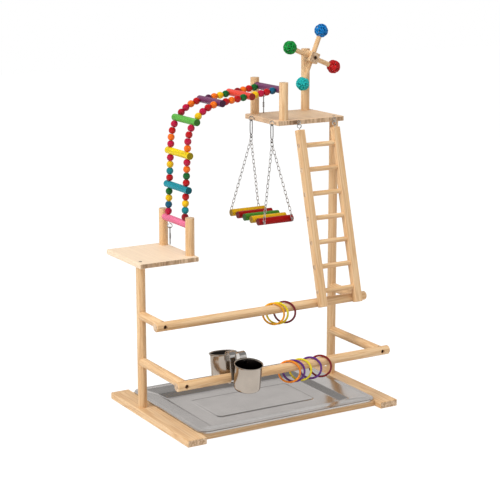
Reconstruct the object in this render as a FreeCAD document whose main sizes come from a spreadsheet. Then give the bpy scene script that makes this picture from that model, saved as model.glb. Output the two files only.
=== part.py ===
"""Tabletop play stand for parrots, in millimetres.

Two feet and two crossbars carry two round posts. Each post holds a small
square platform at its top, and arms on the posts hold two perches in front.
A bead bridge climbs from the lower platform to the upper one. A swing and a
ladder hang from the upper platform and a windmill of balls stands on it.
Two steel cups and eight rings hang on the perches, over a lift-out tray.

The frame: +X to the right along the perches, +Y to the rear, +Z up.
The origin is on the floor, under the middle of the whole stand, windmill
included, so the middle of the feet is a little to its left.
"""
import FreeCAD, Part
import math
import os
import re
import Sketcher
from FreeCAD import Placement, Rotation, Vector

# ---------------------------------------------------------------------------
# Driving dimensions. X and Y places are measured from the middle of the feet.
# ---------------------------------------------------------------------------
SIZES = {
    # feet and the two crossbars between them
    "feet_centre_x": -24.75,    # the middle of the feet, from the origin
    "feet_centre_y": 7.8,
    "foot_length": 330,
    "foot_wide": 40,
    "foot_thick": 13.5,
    "foot_outer": 237,          # outer side of each foot, from the middle
    "bar_wide": 14,
    "bar_inset": 22,            # end of a foot to the outer face of a bar
    "edge_chamfer": 1,          # eased edges of all flat boards
    # round posts
    "post_dia": 18,
    "post_x": 221.5,
    "post_y": 52,
    "lower_board_z": 297,       # underside of the lower platform
    "upper_board_z": 548.5,     # underside of the upper platform
    # platforms
    "board_thick": 10,
    "lower_board_left": -232,
    "lower_board_wide": 128,
    "lower_board_front": 31.5,
    "lower_board_deep": 151,
    "upper_board_left": 82.5,
    "upper_board_wide": 157,
    "upper_board_front": 41.5,
    "upper_board_deep": 131,
    # perches and the arms that hold them
    "perch_dia": 18,
    "perch_length": 479,
    "perch_chamfer": 1.5,
    "upper_perch_y": -42.2,
    "upper_perch_z": 200.4,
    "lower_perch_y": -126.2,
    "lower_perch_z": 106.8,
    "arm_dia": 18,
    "arm_seat": 4,              # flat cut in the rear of a perch
    "arm_notch": 3,             # flat cut in the front of a post
    # wood screws
    "screw_dia": 3.6,
    "head_dia": 7.6,
    "head_deep": 2.4,
    "screw_grip": 26,           # length under the head
    "screw_recess": 3,          # head below the surface of a perch or post
    "recess_dia": 8.4,
    # bridge posts and the bead bridge
    "bridge_y": 107,
    "bridge_post_spread": 112.2,
    "bridge_post_high": 75,
    "lower_bridge_x": -113.5,
    "upper_bridge_x": 100.5,
    "rung_dia": 14,
    "rung_drop": 16,            # end rungs below the tops of their posts
    "rung_seat": 3,             # end rungs let into their posts
    "string_hold": 4,           # strings past the middle of an end rung
    "rise_angle": 87,           # bridge leaves the lower posts almost upright
    "reach_angle": 8,           # and comes to the upper posts almost level
    "bend_radius": 80,
    "string_spread": 70,
    "string_dia": 2,
    "string_play": 0.6,         # room round a string in a bore
    "bead_dia": 14.4,
    "bead_flat": 6.8,             # face at each end of a bead
    # bent-wire screw eyes
    "eye_dia": 9,               # middle of the wire
    "eye_wire": 2,
    "eye_reach": 8,             # wood to the middle of the eye
    "eye_shank": 12,            # in the wood
    "eye_play": 0.1,            # room round the shank
    "link_play": 0.25,          # between wires that hang in each other
    # snap clips under the end rungs
    "clip_length": 36,
    "clip_wide": 10,
    "clip_wire": 2,
    "clip_turn": 30,            # its eye turned from the X axis
    "lower_clip_y": 135,
    "upper_clip_y": 128,
    # swing
    "swing_front_y": 52.5,
    "swing_rear_y": 133.5,
    "hook_length": 30,
    "hook_wide": 8,
    "hook_ring_dia": 7,
    "hook_wire": 2,
    "seat_y": 93,
    "seat_z": 360,
    "dowel_dia": 14.5,
    "dowel_length": 80,
    "dowel_pitch": 27,
    "tie_spread": 66,
    "tie_dia": 2,
    "tie_eye_dia": 6.4,
    "tie_reach": 4.8,           # face of a dowel to the middle of the eye
    "chain_wire": 1.3,
    "chain_wide": 6,
    # ladder
    "ladder_x": 168,
    "rail_spread": 84,
    "rail_wide": 16,
    "rail_deep": 14,
    "rail_length": 356,
    "rail_chamfer": 1,
    "ladder_rung_dia": 10,
    "ladder_rung_first": 31.6,
    "ladder_rung_pitch": 48.8,
    "ladder_rest_gap": 0.5,
    # windmill
    "mill_x": 221,
    "mill_post_y": 159.5,
    "mill_post_high": 128,
    "hub_high": 112,            # middle of the hub above the platform
    "hub_size": 22,
    "hub_deep": 22,
    "hub_spacer": 4.6,
    "hub_play": 0.3,
    "mill_screw_bite": 5,       # past the middle of its post
    "spacer_seat": 1,           # spacer let into its post
    "hub_turn": 22.5,
    "spoke_dia": 10,
    "spoke_seat": 5,
    "ball_dia": 29,
    "ball_reach": 58,
    # tray
    "tray_wide": 400,
    "pan_clear": 3,             # pan to the crossbars on either side of it
    "tray_corner": 22,
    "tray_sheet": 0.8,
    "tray_lip_high": 4,
    "tray_lip_wide": 1.8,
    "tray_lip_round": 1.4,
    "tray_flange": 24,
    "pan_drop": 13,
    "pan_wall": 27,             # the sloped wall, seen from above
    "pan_corner": 14,
    "floor_corner": 9,
    "panel_wide": 222,
    "panel_deep": 116,
    "panel_rise": 1.4,
    "panel_corner": 10,
    # cups and their hanging straps
    "cup_dia": 51,
    "cup_rim_dia": 55.5,
    "cup_high": 52,
    "cup_wall": 1,
    "cup_round": 5,
    "cup_rise": 43,             # rim above the middle of the perch
    "cup_lean": 8,
    "front_cup_x": -110.5,
    "rear_cup_x": -115.5,
    "front_strap_x": -105,
    "rear_strap_x": -121,
    "strap_wide": 14,
    "strap_thick": 1.5,
    "strap_play": 0.3,
    "strap_bend_high": 40,      # middle of the upper bend above the perch
    "strap_leg_end": 30,        # end of the leg on the side of the cup
    "strap_wrap": 60,           # wrap past straight down, under the perch
    "rivet_high": 36,
    "rivet_dia": 4,
    "rivet_head_dia": 7.5,
    "rivet_head": 1.2,
    "spacer_dia": 8,
    "spacer_long": 2.5,
    # rings
    "ring_dia": 42.5,             # middle of the wire
    "ring_wire": 4,
    "ring_yaw": 50,
    "ring_play": 1,
    "upper_ring_1_x": 21.6,
    "upper_ring_2_x": 30.4,
    "upper_ring_3_x": 47.6,
    "lower_ring_1_x": 6.5,
    "lower_ring_2_x": 16.5,
    "lower_ring_3_x": 32,
    "lower_ring_4_x": 55,
    "lower_ring_5_x": 78,
}

# Places worked out from the driving dimensions.
DERIVED = {
    "foot_x": "foot_outer - foot_wide / 2",
    "foot_inner": "foot_outer - foot_wide",
    "bar_y": "foot_length / 2 - bar_inset - bar_wide / 2",
    "perch_radius": "perch_dia / 2",
    "post_radius": "post_dia / 2",
    "lower_top": "lower_board_z + board_thick",
    "upper_top": "upper_board_z + board_thick",
    "seat_depth": "perch_dia / 2 - arm_seat",
    "notch_y": "post_y - post_dia / 2 + arm_notch",
    "lower_rung_z": "lower_board_z + board_thick + bridge_post_high - rung_drop",
    "upper_rung_z": "upper_board_z + board_thick + bridge_post_high - rung_drop",
    "end_rung_length": "bridge_post_spread - post_dia",
    "eye_z": "upper_board_z + board_thick / 2",
    "eye_bottom": "upper_board_z + board_thick / 2 - eye_dia / 2",
    "swing_x": "upper_board_left - eye_reach",
    "swing_pivot_z": "eye_bottom + eye_wire / 2 + hook_wire / 2 + link_play",
    "ladder_pivot_y": "upper_board_front - eye_reach",
    "ladder_pivot_z": "eye_bottom + eye_wire + link_play",
    "mill_y": "mill_post_y - post_dia / 2 - hub_spacer - hub_deep / 2",
    "mill_z": "upper_top + hub_high",
    "tray_top": "foot_thick + tray_lip_high",
    "tray_deep": "2 * (bar_y - bar_wide / 2 - pan_clear + tray_flange)",
    "strap_inner": "perch_radius + strap_play",
    "strap_outer": "strap_inner + strap_thick",
    "cup_away": "strap_outer + spacer_long + cup_dia / 2",
    "ring_drop": "ring_dia / 2 - ring_wire / 2 - perch_radius - ring_play",
}

RUNGS = 7                       # rungs of the bridge, one node each
LADDER_RUNGS = 7
CHAIN_LINKS = 19                # links in each of the four chains
SCREW_SIDES = 6                 # flat sides of the small turned pieces
BEAD_SIDES = 8
RING_RUNS, RING_SIDES = 24, 8   # runs of a ring, and flat sides of its wire
BEND_STEPS = 12                 # runs of a string round the bend of the bridge
# Bead colours from the lower end of the bridge, gap by gap: (rear, front).
BEADS = [
    (("magenta", "blue", "yellow", "green"), ("red", "blue", "yellow", "red")),
    (("red", "blue", "yellow", "magenta"), ("red", "green", "orange", "magenta")),
    (("magenta", "orange", "red", "magenta"), ("orange", "magenta", "red", "magenta")),
    (("red", "magenta", "orange", "red"), ("yellow", "magenta", "red", "orange")),
    (("blue", "orange", "yellow", "green"), ("red", "orange", "red", "green")),
    (("red", "orange", "red", "green"), ("yellow", "magenta", "red", "blue")),
]
SWING_COLOURS = ("red", "yellow", "green", "red", "yellow")     # front to rear
BALLS = ("blue", "red", "teal", "green")                        # clockwise from the top

doc = FreeCAD.newDocument("play_stand")
sizes = doc.addObject("Spreadsheet::Sheet", "sizes")
for row, (alias, number) in enumerate(SIZES.items(), start=1):
    sizes.set(f"A{row}", alias)
    sizes.set(f"B{row}", str(number))
    sizes.setAlias(f"B{row}", alias)
doc.recompute()

X_AXIS, Y_AXIS, Z_AXIS = Vector(1, 0, 0), Vector(0, 1, 0), Vector(0, 0, 1)
ALONG = {                       # turns a feature that stands along Z
    "x": Rotation(Y_AXIS, 90),
    "-x": Rotation(Y_AXIS, -90),
    "y": Rotation(X_AXIS, -90),
    "-y": Rotation(X_AXIS, 90),
    "z": Rotation(),
    "-z": Rotation(X_AXIS, 180),
}
nodes = {}


# ---------------------------------------------------------------------------
# Formulas, placing and small building steps
# ---------------------------------------------------------------------------
def formula(text):
    """Spell out a formula of size names in cells of the sheet."""
    def spell(match):
        word = match.group()
        if word in DERIVED:
            return "(" + formula(DERIVED[word]) + ")"
        return "sizes." + word if word in SIZES else word
    return re.sub(r"[A-Za-z_]\w*", spell, str(text))


def value(text):
    """The number that a formula gives."""
    result = sizes.evalExpression(formula(text))
    return float(getattr(result, "Value", result))


def bind(item, name, text):
    item.setExpression(name, formula(text))


def place(item, x, y, z, turn=None):
    """Put a feature at a place given by formulas, counted from the feet."""
    item.Placement = Placement(Vector(), turn or Rotation())
    bind(item, "Placement.Base.x", f"feet_centre_x + {x}")
    bind(item, "Placement.Base.y", f"feet_centre_y + {y}")
    bind(item, "Placement.Base.z", z)
    return item


def spot(x, y, z):
    """The same kind of place as a vector, for shapes made from points."""
    return Vector(value(f"feet_centre_x + {x}"), value(f"feet_centre_y + {y}"), value(z))


def keep(label, item):
    """Name the feature that is one sub-part of the stand."""
    item.Label = label
    nodes[label] = item
    return item


def rod(name, dia, length, x, y, z, along):
    item = doc.addObject("Part::Cylinder", name)
    bind(item, "Radius", f"({dia}) / 2")
    bind(item, "Height", length)
    return place(item, x, y, z, ALONG[along])


def group(name, pieces):
    item = doc.addObject("Part::Compound", name)
    item.Links = pieces
    return item


def cut(name, base, tools):
    """Take the tools out of the base."""
    tool = tools[0]
    if len(tools) > 1:
        tool = doc.addObject("Part::MultiFuse", f"{name}_tools")
        tool.Shapes = tools
    item = doc.addObject("Part::Cut", name)
    item.Base = base
    item.Tool = tool
    return item


def fixed(name, shape):
    """A feature whose shape is made from points."""
    item = doc.addObject("Part::Feature", name)
    item.Shape = shape
    return item


def new_body(name):
    return doc.addObject("PartDesign::Body", name)


def sketch_on(body, role, shift=None):
    plane = next(item for item in body.Origin.OriginFeatures if item.Role == role)
    sketch = body.newObject("Sketcher::SketchObject", f"{body.Name}_sketch")
    sketch.AttachmentSupport = (plane, [""])
    sketch.MapMode = "FlatFace"
    if shift is not None:
        bind(sketch, "AttachmentOffset.Base.z", shift)
    return sketch


def hold(sketch, curve, point, x, y):
    """Pin one point of a sketch at x, y."""
    for kind, text in (("DistanceX", x), ("DistanceY", y)):
        number = sketch.addConstraint(
            Sketcher.Constraint(kind, -1, 1, curve, point, value(text)))
        bind(sketch, f"Constraints[{number}]", text)


def circle(sketch, x, y, dia):
    centre = Vector(value(x), value(y), 0)
    curve = sketch.addGeometry(Part.Circle(centre, Z_AXIS, value(dia) / 2))
    hold(sketch, curve, 3, x, y)
    number = sketch.addConstraint(Sketcher.Constraint("Diameter", curve, value(dia)))
    bind(sketch, f"Constraints[{number}]", dia)


def outline(sketch, corners):
    """A closed outline. A corner (x, y, radius, turn) is reached by an arc."""
    points = [Vector(value(c[0]), value(c[1]), 0) for c in corners]
    curves = []
    for index, corner in enumerate(corners):
        start, end = points[index - 1], points[index]
        if len(corner) == 2:
            curve = sketch.addGeometry(Part.LineSegment(start, end))
            curves.append((curve, 1, 2))
            continue
        radius = value(corner[2])
        half = (end - start) * 0.5
        side = Vector(-half.y, half.x, 0).normalize()
        if corner[3] == "right":
            side = side * -1
        rise = math.sqrt(max(radius ** 2 - half.Length ** 2, 0))
        centre = start + half + side * rise
        first, last = (start, end) if corner[3] == "left" else (end, start)
        angles = [math.atan2(p.y - centre.y, p.x - centre.x) for p in (first, last)]
        arc = Part.ArcOfCircle(Part.Circle(centre, Z_AXIS, radius), *angles)
        curve = sketch.addGeometry(arc)
        curves.append((curve, 1, 2) if corner[3] == "left" else (curve, 2, 1))
    for index, corner in enumerate(corners):
        curve, begin, finish = curves[index]
        following = curves[(index + 1) % len(curves)]
        sketch.addConstraint(
            Sketcher.Constraint("Coincident", curve, finish, following[0], following[1]))
        hold(sketch, curve, finish, corner[0], corner[1])
        if len(corner) > 2:
            number = sketch.addConstraint(
                Sketcher.Constraint("Radius", curve, value(corner[2])))
            bind(sketch, f"Constraints[{number}]", corner[2])


def rectangle(sketch, left, right, low, high):
    outline(sketch, [(right, low), (right, high), (left, high), (left, low)])


def round_rectangle(sketch, half_wide, half_deep, corner):
    """A rectangle about the middle, with round corners."""
    wide, deep, near_x, near_y = (
        half_wide, half_deep, f"{half_wide} - {corner}", f"{half_deep} - {corner}")
    outline(sketch, [
        (near_x, f"-({deep})"), (wide, f"-({near_y})", corner, "left"),
        (wide, near_y), (near_x, deep, corner, "left"),
        (f"-({near_x})", deep), (f"-({wide})", near_y, corner, "left"),
        (f"-({wide})", f"-({near_y})"), (f"-({near_x})", f"-({deep})", corner, "left"),
    ])


def pad(body, sketch, length, back=False, middle=False):
    item = body.newObject("PartDesign::Pad", f"{body.Name}_pad")
    item.Profile = sketch
    bind(item, "Length", length)
    item.Reversed = back
    item.Midplane = middle
    return item


def pocket(body, sketch, length, back=False):
    item = body.newObject("PartDesign::Pocket", f"{body.Name}_pocket")
    item.Profile = sketch
    bind(item, "Length", length)
    item.Reversed = back
    return item


def turned(body, sketch, axis="V_Axis"):
    item = body.newObject("PartDesign::Revolution", f"{body.Name}_turned")
    item.Profile = sketch
    item.ReferenceAxis = (sketch, [axis])
    item.Angle = 360
    return item


def ease(body, base, size):
    """Chamfer every edge of a plain board."""
    item = body.newObject("PartDesign::Chamfer", f"{body.Name}_edges")
    item.Base = (base, [""])
    item.UseAllEdges = True
    bind(item, "Size", size)
    return item


# ---------------------------------------------------------------------------
# Bent wire made with a few flat sides
# ---------------------------------------------------------------------------
def wire(points, normal, radius, sides=6, closed=False):
    """A wire bent in one plane: a prism along each run, mitred at each bend."""
    count = len(points)
    rings = []
    for index, point in enumerate(points):
        before = point - points[index - 1]
        after = points[(index + 1) % count] - point
        if not closed and index == 0:
            before = after
        if not closed and index == count - 1:
            after = before
        before, after = Vector(before).normalize(), Vector(after).normalize()
        ahead = (before + after).normalize()
        across = ahead.cross(normal).normalize()
        stretch = radius / max(across.cross(before).Length, 0.2)
        ring = []
        for side in range(sides):
            angle = 2 * math.pi * (side + 0.5) / sides
            ring.append(point + across * (stretch * math.cos(angle))
                        + normal * (radius * math.sin(angle)))
        rings.append(ring)
    faces = []
    for index in range(count if closed else count - 1):
        here, there = rings[index], rings[(index + 1) % count]
        for side in range(sides):
            nxt = (side + 1) % sides
            faces.append(Part.Face(Part.makePolygon(
                [here[side], there[side], there[nxt], here[nxt], here[side]])))
    if not closed:
        for ring in (rings[0], rings[-1]):
            faces.append(Part.Face(Part.makePolygon(ring + ring[:1])))
    solid = Part.makeSolid(Part.makeShell(faces))
    if solid.Volume < 0:
        solid.reverse()
    return solid


def bow(centre, radius, first, last, steps, across, up):
    """Points on an arc, from angle first to last, 0 along across, 90 along up."""
    points = []
    for step in range(steps + 1):
        angle = math.radians(first + (last - first) * step / steps)
        points.append(centre + across * (radius * math.cos(angle))
                      + up * (radius * math.sin(angle)))
    return points


def screw_eye(foot, out, side):
    """An eye screwed in at foot, its shank along out, its eye in the plane out-side."""
    radius = value("eye_dia / 2")
    centre = foot + out * value("eye_reach")
    tip = foot - out * value("eye_shank")
    ring = bow(centre, radius, -148, 180, 11, out, side)
    return wire([tip, ring[-1] - out * 0.8] + ring[::-1], out.cross(side), value("eye_wire / 2"))


def eye_bore(name, x, y, z, along):
    """The bore for the shank of an eye, going into the wood."""
    return rod(name, "eye_wire + eye_play", "eye_shank + 2 * eye_play", x, y, z, along)


def flat_sided(profile, sides, closed=False):
    """A solid turned from a profile of (radius, height) points, with flat sides."""
    rings = [[Vector(radius * math.cos(2 * math.pi * side / sides),
                     radius * math.sin(2 * math.pi * side / sides), height)
              for side in range(sides)] for radius, height in profile]
    faces = [] if closed else [Part.Face(Part.makePolygon(ring + ring[:1]))
                               for ring in (rings[0], rings[-1])]
    for index in range(0 if closed else 1, len(rings)):
        here, there = rings[index - 1], rings[index]
        for side in range(sides):
            after = (side + 1) % sides
            faces.append(Part.Face(Part.makePolygon(
                [here[side], here[after], there[after], there[side], here[side]])))
    solid = Part.makeSolid(Part.makeShell(faces))
    if solid.Volume < 0:
        solid.reverse()
    return solid


def screw(name, x, y, z, along, grip="screw_grip"):
    """A countersunk screw with the top of its head at the given place."""
    head, shank, deep = value("head_dia / 2"), value("screw_dia / 2"), value("head_deep")
    profile = [(head, 0), (shank, deep), (shank, value(grip))]
    return place(fixed(name, flat_sided(profile, SCREW_SIDES)), x, y, z, ALONG[along])


# ---------------------------------------------------------------------------
# Screws of the frame: each one is also the tool that bores its wood
# ---------------------------------------------------------------------------
foot_screws = []
post_arm_screws = []
perch_screws = []
for side, sign in (("left", "-"), ("right", "")):
    foot_screws.append(screw(f"{side}_foot_screw", f"{sign}post_x", "post_y",
                             "0", "z", "foot_thick + screw_grip"))
    for perch in ("upper", "lower"):
        height = f"{perch}_perch_z"
        post_arm_screws.append(screw(
            f"{side}_{perch}_post_screw", f"{sign}post_x", "post_y + post_radius - screw_recess",
            height, "-y", "post_dia - screw_recess - arm_notch + screw_grip"))
        perch_screws.append(screw(
            f"{side}_{perch}_perch_screw", f"{sign}post_x",
            f"{perch}_perch_y - perch_radius + screw_recess", height, "y",
            "perch_dia - arm_seat - screw_recess + screw_grip"))
board_screws = {
    "lower": screw("lower_board_screw", "-post_x", "post_y", "lower_top", "-z",
                   "board_thick + screw_grip"),
    "upper": screw("upper_board_screw", "post_x", "post_y", "upper_top", "-z",
                   "board_thick + screw_grip"),
}
bridge_screws = {"lower": [], "upper": []}
for end in ("lower", "upper"):
    for side, sign in (("front", "-"), ("rear", "+")):
        bridge_screws[end].append(screw(
            f"{end}_{side}_bridge_screw", f"{end}_bridge_x",
            f"bridge_y {sign} bridge_post_spread / 2", f"{end}_board_z", "z",
            "board_thick + screw_grip"))
mill_post_screw = screw("mill_post_screw", "mill_x", "mill_post_y", "upper_board_z", "z",
                        "board_thick + screw_grip")
mill_screw = screw("mill_screw", "mill_x", "mill_y - hub_deep / 2 - hub_play - head_deep",
                   "mill_z", "y", "hub_deep + hub_spacer + head_deep + post_radius + mill_screw_bite")
mill_spacer = cut("mill_spacer", rod(
    "mill_spacer_tube", "spacer_dia", "hub_spacer + spacer_seat - hub_play", "mill_x",
    "mill_post_y - post_radius - hub_spacer + hub_play", "mill_z", "y"), [mill_screw])
all_screws = (foot_screws + post_arm_screws + perch_screws + list(board_screws.values())
              + bridge_screws["lower"] + bridge_screws["upper"] + [mill_post_screw])


# ---------------------------------------------------------------------------
# Feet and crossbars
# ---------------------------------------------------------------------------
for index, (side, sign) in enumerate((("left", "-"), ("right", ""))):
    foot = new_body(f"{side}_foot_board")
    sketch = sketch_on(foot, "XY_Plane")
    rectangle(sketch, "-foot_wide / 2", "foot_wide / 2", "-foot_length / 2", "foot_length / 2")
    ease(foot, pad(foot, sketch, "foot_thick"), "edge_chamfer")
    place(foot, f"{sign}foot_x", "0", "0")
    keep(f"{side}_foot", cut(f"{side}_foot_cut", foot, [foot_screws[index]]))

bars = new_body("crossbar_pair")
sketch = sketch_on(bars, "XY_Plane")
rectangle(sketch, "-foot_inner", "foot_inner", "-bar_y - bar_wide / 2", "-bar_y + bar_wide / 2")
rectangle(sketch, "-foot_inner", "foot_inner", "bar_y - bar_wide / 2", "bar_y + bar_wide / 2")
pad(bars, sketch, "foot_thick")
keep("crossbars", place(bars, "0", "0", "0"))


# ---------------------------------------------------------------------------
# Perches, their arms and the posts, with flat seats where they meet
# ---------------------------------------------------------------------------
raw_arms = {}
for perch in ("upper", "lower"):
    start = f"{perch}_perch_y + seat_depth"
    for index, (side, sign) in enumerate((("left", "-"), ("right", ""))):
        raw_arms[side, perch] = rod(
            f"{side}_{perch}_arm_rod", "arm_dia", f"notch_y - ({start})",
            f"{sign}post_x", start, f"{perch}_perch_z", "y")
    order = {"upper": 0, "lower": 1}[perch]
    arm_screws = [post_arm_screws[order], post_arm_screws[order + 2],
                  perch_screws[order], perch_screws[order + 2]]
    keep(f"{perch}_perch_arms", group(f"{perch}_arm_pair", [
        cut(f"{side}_{perch}_arm", raw_arms[side, perch], [arm_screws[index], arm_screws[index + 2]])
        for index, side in enumerate(("left", "right"))]))

    bar = new_body(f"{perch}_perch_rod")
    sketch = sketch_on(bar, "YZ_Plane")
    circle(sketch, "0", "0", "perch_dia")
    base = pad(bar, sketch, "perch_length", middle=True)
    ends = bar.newObject("PartDesign::Chamfer", f"{perch}_perch_ends")
    bind(ends, "Size", "perch_chamfer")
    seats = sketch_on(bar, "XZ_Plane", "-perch_radius")
    recesses = sketch_on(bar, "XZ_Plane", "perch_radius")
    for sign in ("-", ""):
        circle(seats, f"{sign}post_x", "0", "arm_dia")
        circle(recesses, f"{sign}post_x", "0", "recess_dia")
    doc.recompute()
    faces = [f"Face{number}" for number, face in enumerate(base.Shape.Faces, 1)
             if isinstance(face.Surface, Part.Plane)]
    ends.Base = (base, faces)
    pocket(bar, seats, "arm_seat", back=True)
    pocket(bar, recesses, "screw_recess")
    place(bar, "0", f"{perch}_perch_y", f"{perch}_perch_z")
    keep(f"{perch}_perch", cut(f"{perch}_perch_cut", bar,
                               [perch_screws[order], perch_screws[order + 2]]))

for index, (side, sign, board) in enumerate((("left", "-", "lower"), ("right", "", "upper"))):
    post = rod(f"{side}_post_rod", "post_dia", f"{board}_board_z - foot_thick",
               f"{sign}post_x", "post_y", "foot_thick", "z")
    recesses = [rod(f"{side}_{perch}_recess", "recess_dia", "screw_recess + 1", f"{sign}post_x",
                    "post_y + post_radius - screw_recess", f"{perch}_perch_z", "y")
                for perch in ("upper", "lower")]
    keep(f"{side}_post", cut(f"{side}_post_cut", post, recesses + [
        raw_arms[side, "upper"], raw_arms[side, "lower"], foot_screws[index],
        board_screws[board], post_arm_screws[2 * index], post_arm_screws[2 * index + 1]]))


# ---------------------------------------------------------------------------
# Platforms with the bores of their eyes, and the posts that stand on them
# ---------------------------------------------------------------------------
LADDER_EYES = ("ladder_x - rail_spread / 2", "ladder_x + rail_spread / 2")
eye_bores = [eye_bore(f"swing_bore_{index}", "upper_board_left", y, "eye_z", "x")
             for index, y in enumerate(("swing_front_y", "swing_rear_y"))]
eye_bores += [eye_bore(f"ladder_bore_{index}", x, "upper_board_front", "eye_z", "y")
              for index, x in enumerate(LADDER_EYES)]
for board, bores in (("lower", []), ("upper", eye_bores + [mill_post_screw])):
    plate = new_body(f"{board}_board")
    sketch = sketch_on(plate, "XY_Plane")
    rectangle(sketch, "0", f"{board}_board_wide", "0", f"{board}_board_deep")
    ease(plate, pad(plate, sketch, "board_thick"), "edge_chamfer")
    place(plate, f"{board}_board_left", f"{board}_board_front", f"{board}_board_z")
    keep(f"{board}_platform", cut(f"{board}_board_cut", plate,
                                  [board_screws[board]] + bridge_screws[board] + bores))

end_rungs = {end: rod(f"{end}_end_rung", "rung_dia", "end_rung_length + 2 * rung_seat",
                      f"{end}_bridge_x", "bridge_y - end_rung_length / 2 - rung_seat",
                      f"{end}_rung_z", "y") for end in ("lower", "upper")}
stubs = []
for end in ("lower", "upper"):
    for index, (side, sign) in enumerate((("front", "-"), ("rear", "+"))):
        stub = rod(f"{end}_{side}_stub", "post_dia", "bridge_post_high", f"{end}_bridge_x",
                   f"bridge_y {sign} bridge_post_spread / 2", f"{end}_top", "z")
        stubs.append(cut(f"{end}_{side}_bridge_post", stub,
                         [bridge_screws[end][index], end_rungs[end]]))
keep("bridge_posts", group("bridge_post_group", stubs))
keep("windmill_post", cut("windmill_post_cut", rod(
    "windmill_post_rod", "post_dia", "mill_post_high", "mill_x", "mill_post_y", "upper_top", "z"),
    [mill_post_screw, mill_screw, mill_spacer]))
keep("frame_screws", group("frame_screw_group", all_screws + [mill_screw, mill_spacer]))


# ---------------------------------------------------------------------------
# Bead bridge: a straight climb, one bend and a straight reach
# ---------------------------------------------------------------------------
rise = math.radians(value("rise_angle"))
reach = math.radians(value("reach_angle"))
bend = value("bend_radius")
low_end = spot("lower_bridge_x", "bridge_y", "lower_rung_z")
high_end = spot("upper_bridge_x", "bridge_y", "upper_rung_z")
up_way = Vector(math.cos(rise), 0, math.sin(rise))
over_way = Vector(math.cos(reach), 0, math.sin(reach))
gap_way = high_end - low_end
turn = up_way.x * over_way.z - up_way.z * over_way.x
tangent = bend * math.tan((rise - reach) / 2)
climb = (gap_way.x * over_way.z - gap_way.z * over_way.x) / turn - tangent
run_out = (up_way.x * gap_way.z - up_way.z * gap_way.x) / turn - tangent
bend_start = low_end + up_way * climb
bend_centre = bend_start + Vector(math.sin(rise), 0, -math.cos(rise)) * bend
bend_end = high_end - over_way * run_out
bridge_length = climb + bend * (rise - reach) + run_out
rung_pitch = bridge_length / (RUNGS - 1)


def along_bridge(distance):
    """The point of the bridge at that distance from its lower end, and its heading."""
    if distance < climb:
        return low_end + up_way * distance, rise
    heading = rise - (distance - climb) / bend
    if heading > reach:
        return bend_centre + Vector(-math.sin(heading), 0, math.cos(heading)) * bend, heading
    return high_end - over_way * (bridge_length - distance), reach


def string(offset, radius, over):
    """Climb, bend and reach as one wire, held that far past the middle of each end rung."""
    middle_line = [low_end - up_way * over, bend_start]
    for step in range(1, BEND_STEPS):
        middle_line.append(along_bridge(climb + bend * (rise - reach) * step / BEND_STEPS)[0])
    middle_line += [bend_end, high_end + over_way * over]
    shift = Vector(0, offset, 0)
    return wire([point + shift for point in middle_line], Y_AXIS, radius)


string_offsets = (-value("string_spread / 2"), value("string_spread / 2"))
keep("bridge_wires", fixed("bridge_strings", Part.makeCompound(
    [string(offset, value("string_dia / 2"), value("string_hold")) for offset in string_offsets])))
string_bores = [fixed(f"string_bore_{index}", string(
    offset, value("string_dia / 2 + string_play / 2"), value("string_hold + string_play")))
                for index, offset in enumerate(string_offsets)]
clip_bores = {
    1: eye_bore("lower_clip_bore", "lower_bridge_x", "lower_clip_y",
                "lower_rung_z - rung_dia / 2", "z"),
    RUNGS: eye_bore("upper_clip_bore", "upper_bridge_x", "upper_clip_y",
                    "upper_rung_z - rung_dia / 2", "z"),
}
for number in range(1, RUNGS + 1):
    if number in clip_bores:
        end = "lower" if number == 1 else "upper"
        rung, tools = end_rungs[end], string_bores + [clip_bores[number]]
    else:
        rung, tools = doc.addObject("Part::Cylinder", f"rung_{number}_rod"), string_bores
        point, heading = along_bridge((number - 1) * rung_pitch)
        bind(rung, "Radius", "rung_dia / 2")
        bind(rung, "Height", "end_rung_length")
        rung.Placement = Placement(point - Y_AXIS * value("end_rung_length / 2"), ALONG["y"])
    keep(f"bridge_rung_{number}", cut(f"rung_{number}_cut", rung, tools))


def bead(centre, heading):
    """A turned bead: flat ends, two cones and a belt, bored along its middle."""
    half = value("bead_dia / 2")
    end = value("bead_flat / 2")
    bore = value("string_dia / 2 + string_play / 2") / math.cos(math.pi / BEAD_SIDES)
    length = math.sqrt(half ** 2 - end ** 2)
    solid = flat_sided([(bore, -length), (end, -length), (half, -length * 0.35),
                        (half, length * 0.35), (end, length), (bore, length)],
                       BEAD_SIDES, closed=True)
    solid.Placement = Placement(centre, Rotation(Y_AXIS, 90 - math.degrees(heading)))
    return solid


beads = {}
bead_gap = rung_pitch - value("rung_dia")
for gap, (rear, front) in enumerate(BEADS):
    for colours, offset in ((rear, string_offsets[1]), (front, string_offsets[0])):
        for index, colour in enumerate(colours):
            distance = (gap * rung_pitch + value("rung_dia / 2")
                        + (index + 0.5) * bead_gap / len(colours))
            point, heading = along_bridge(distance)
            beads.setdefault(colour, []).append(bead(point + Vector(0, offset, 0), heading))
for colour, solids in beads.items():
    keep(f"{colour}_beads", fixed(f"{colour}_bead_group", Part.makeCompound(solids)))


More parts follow.
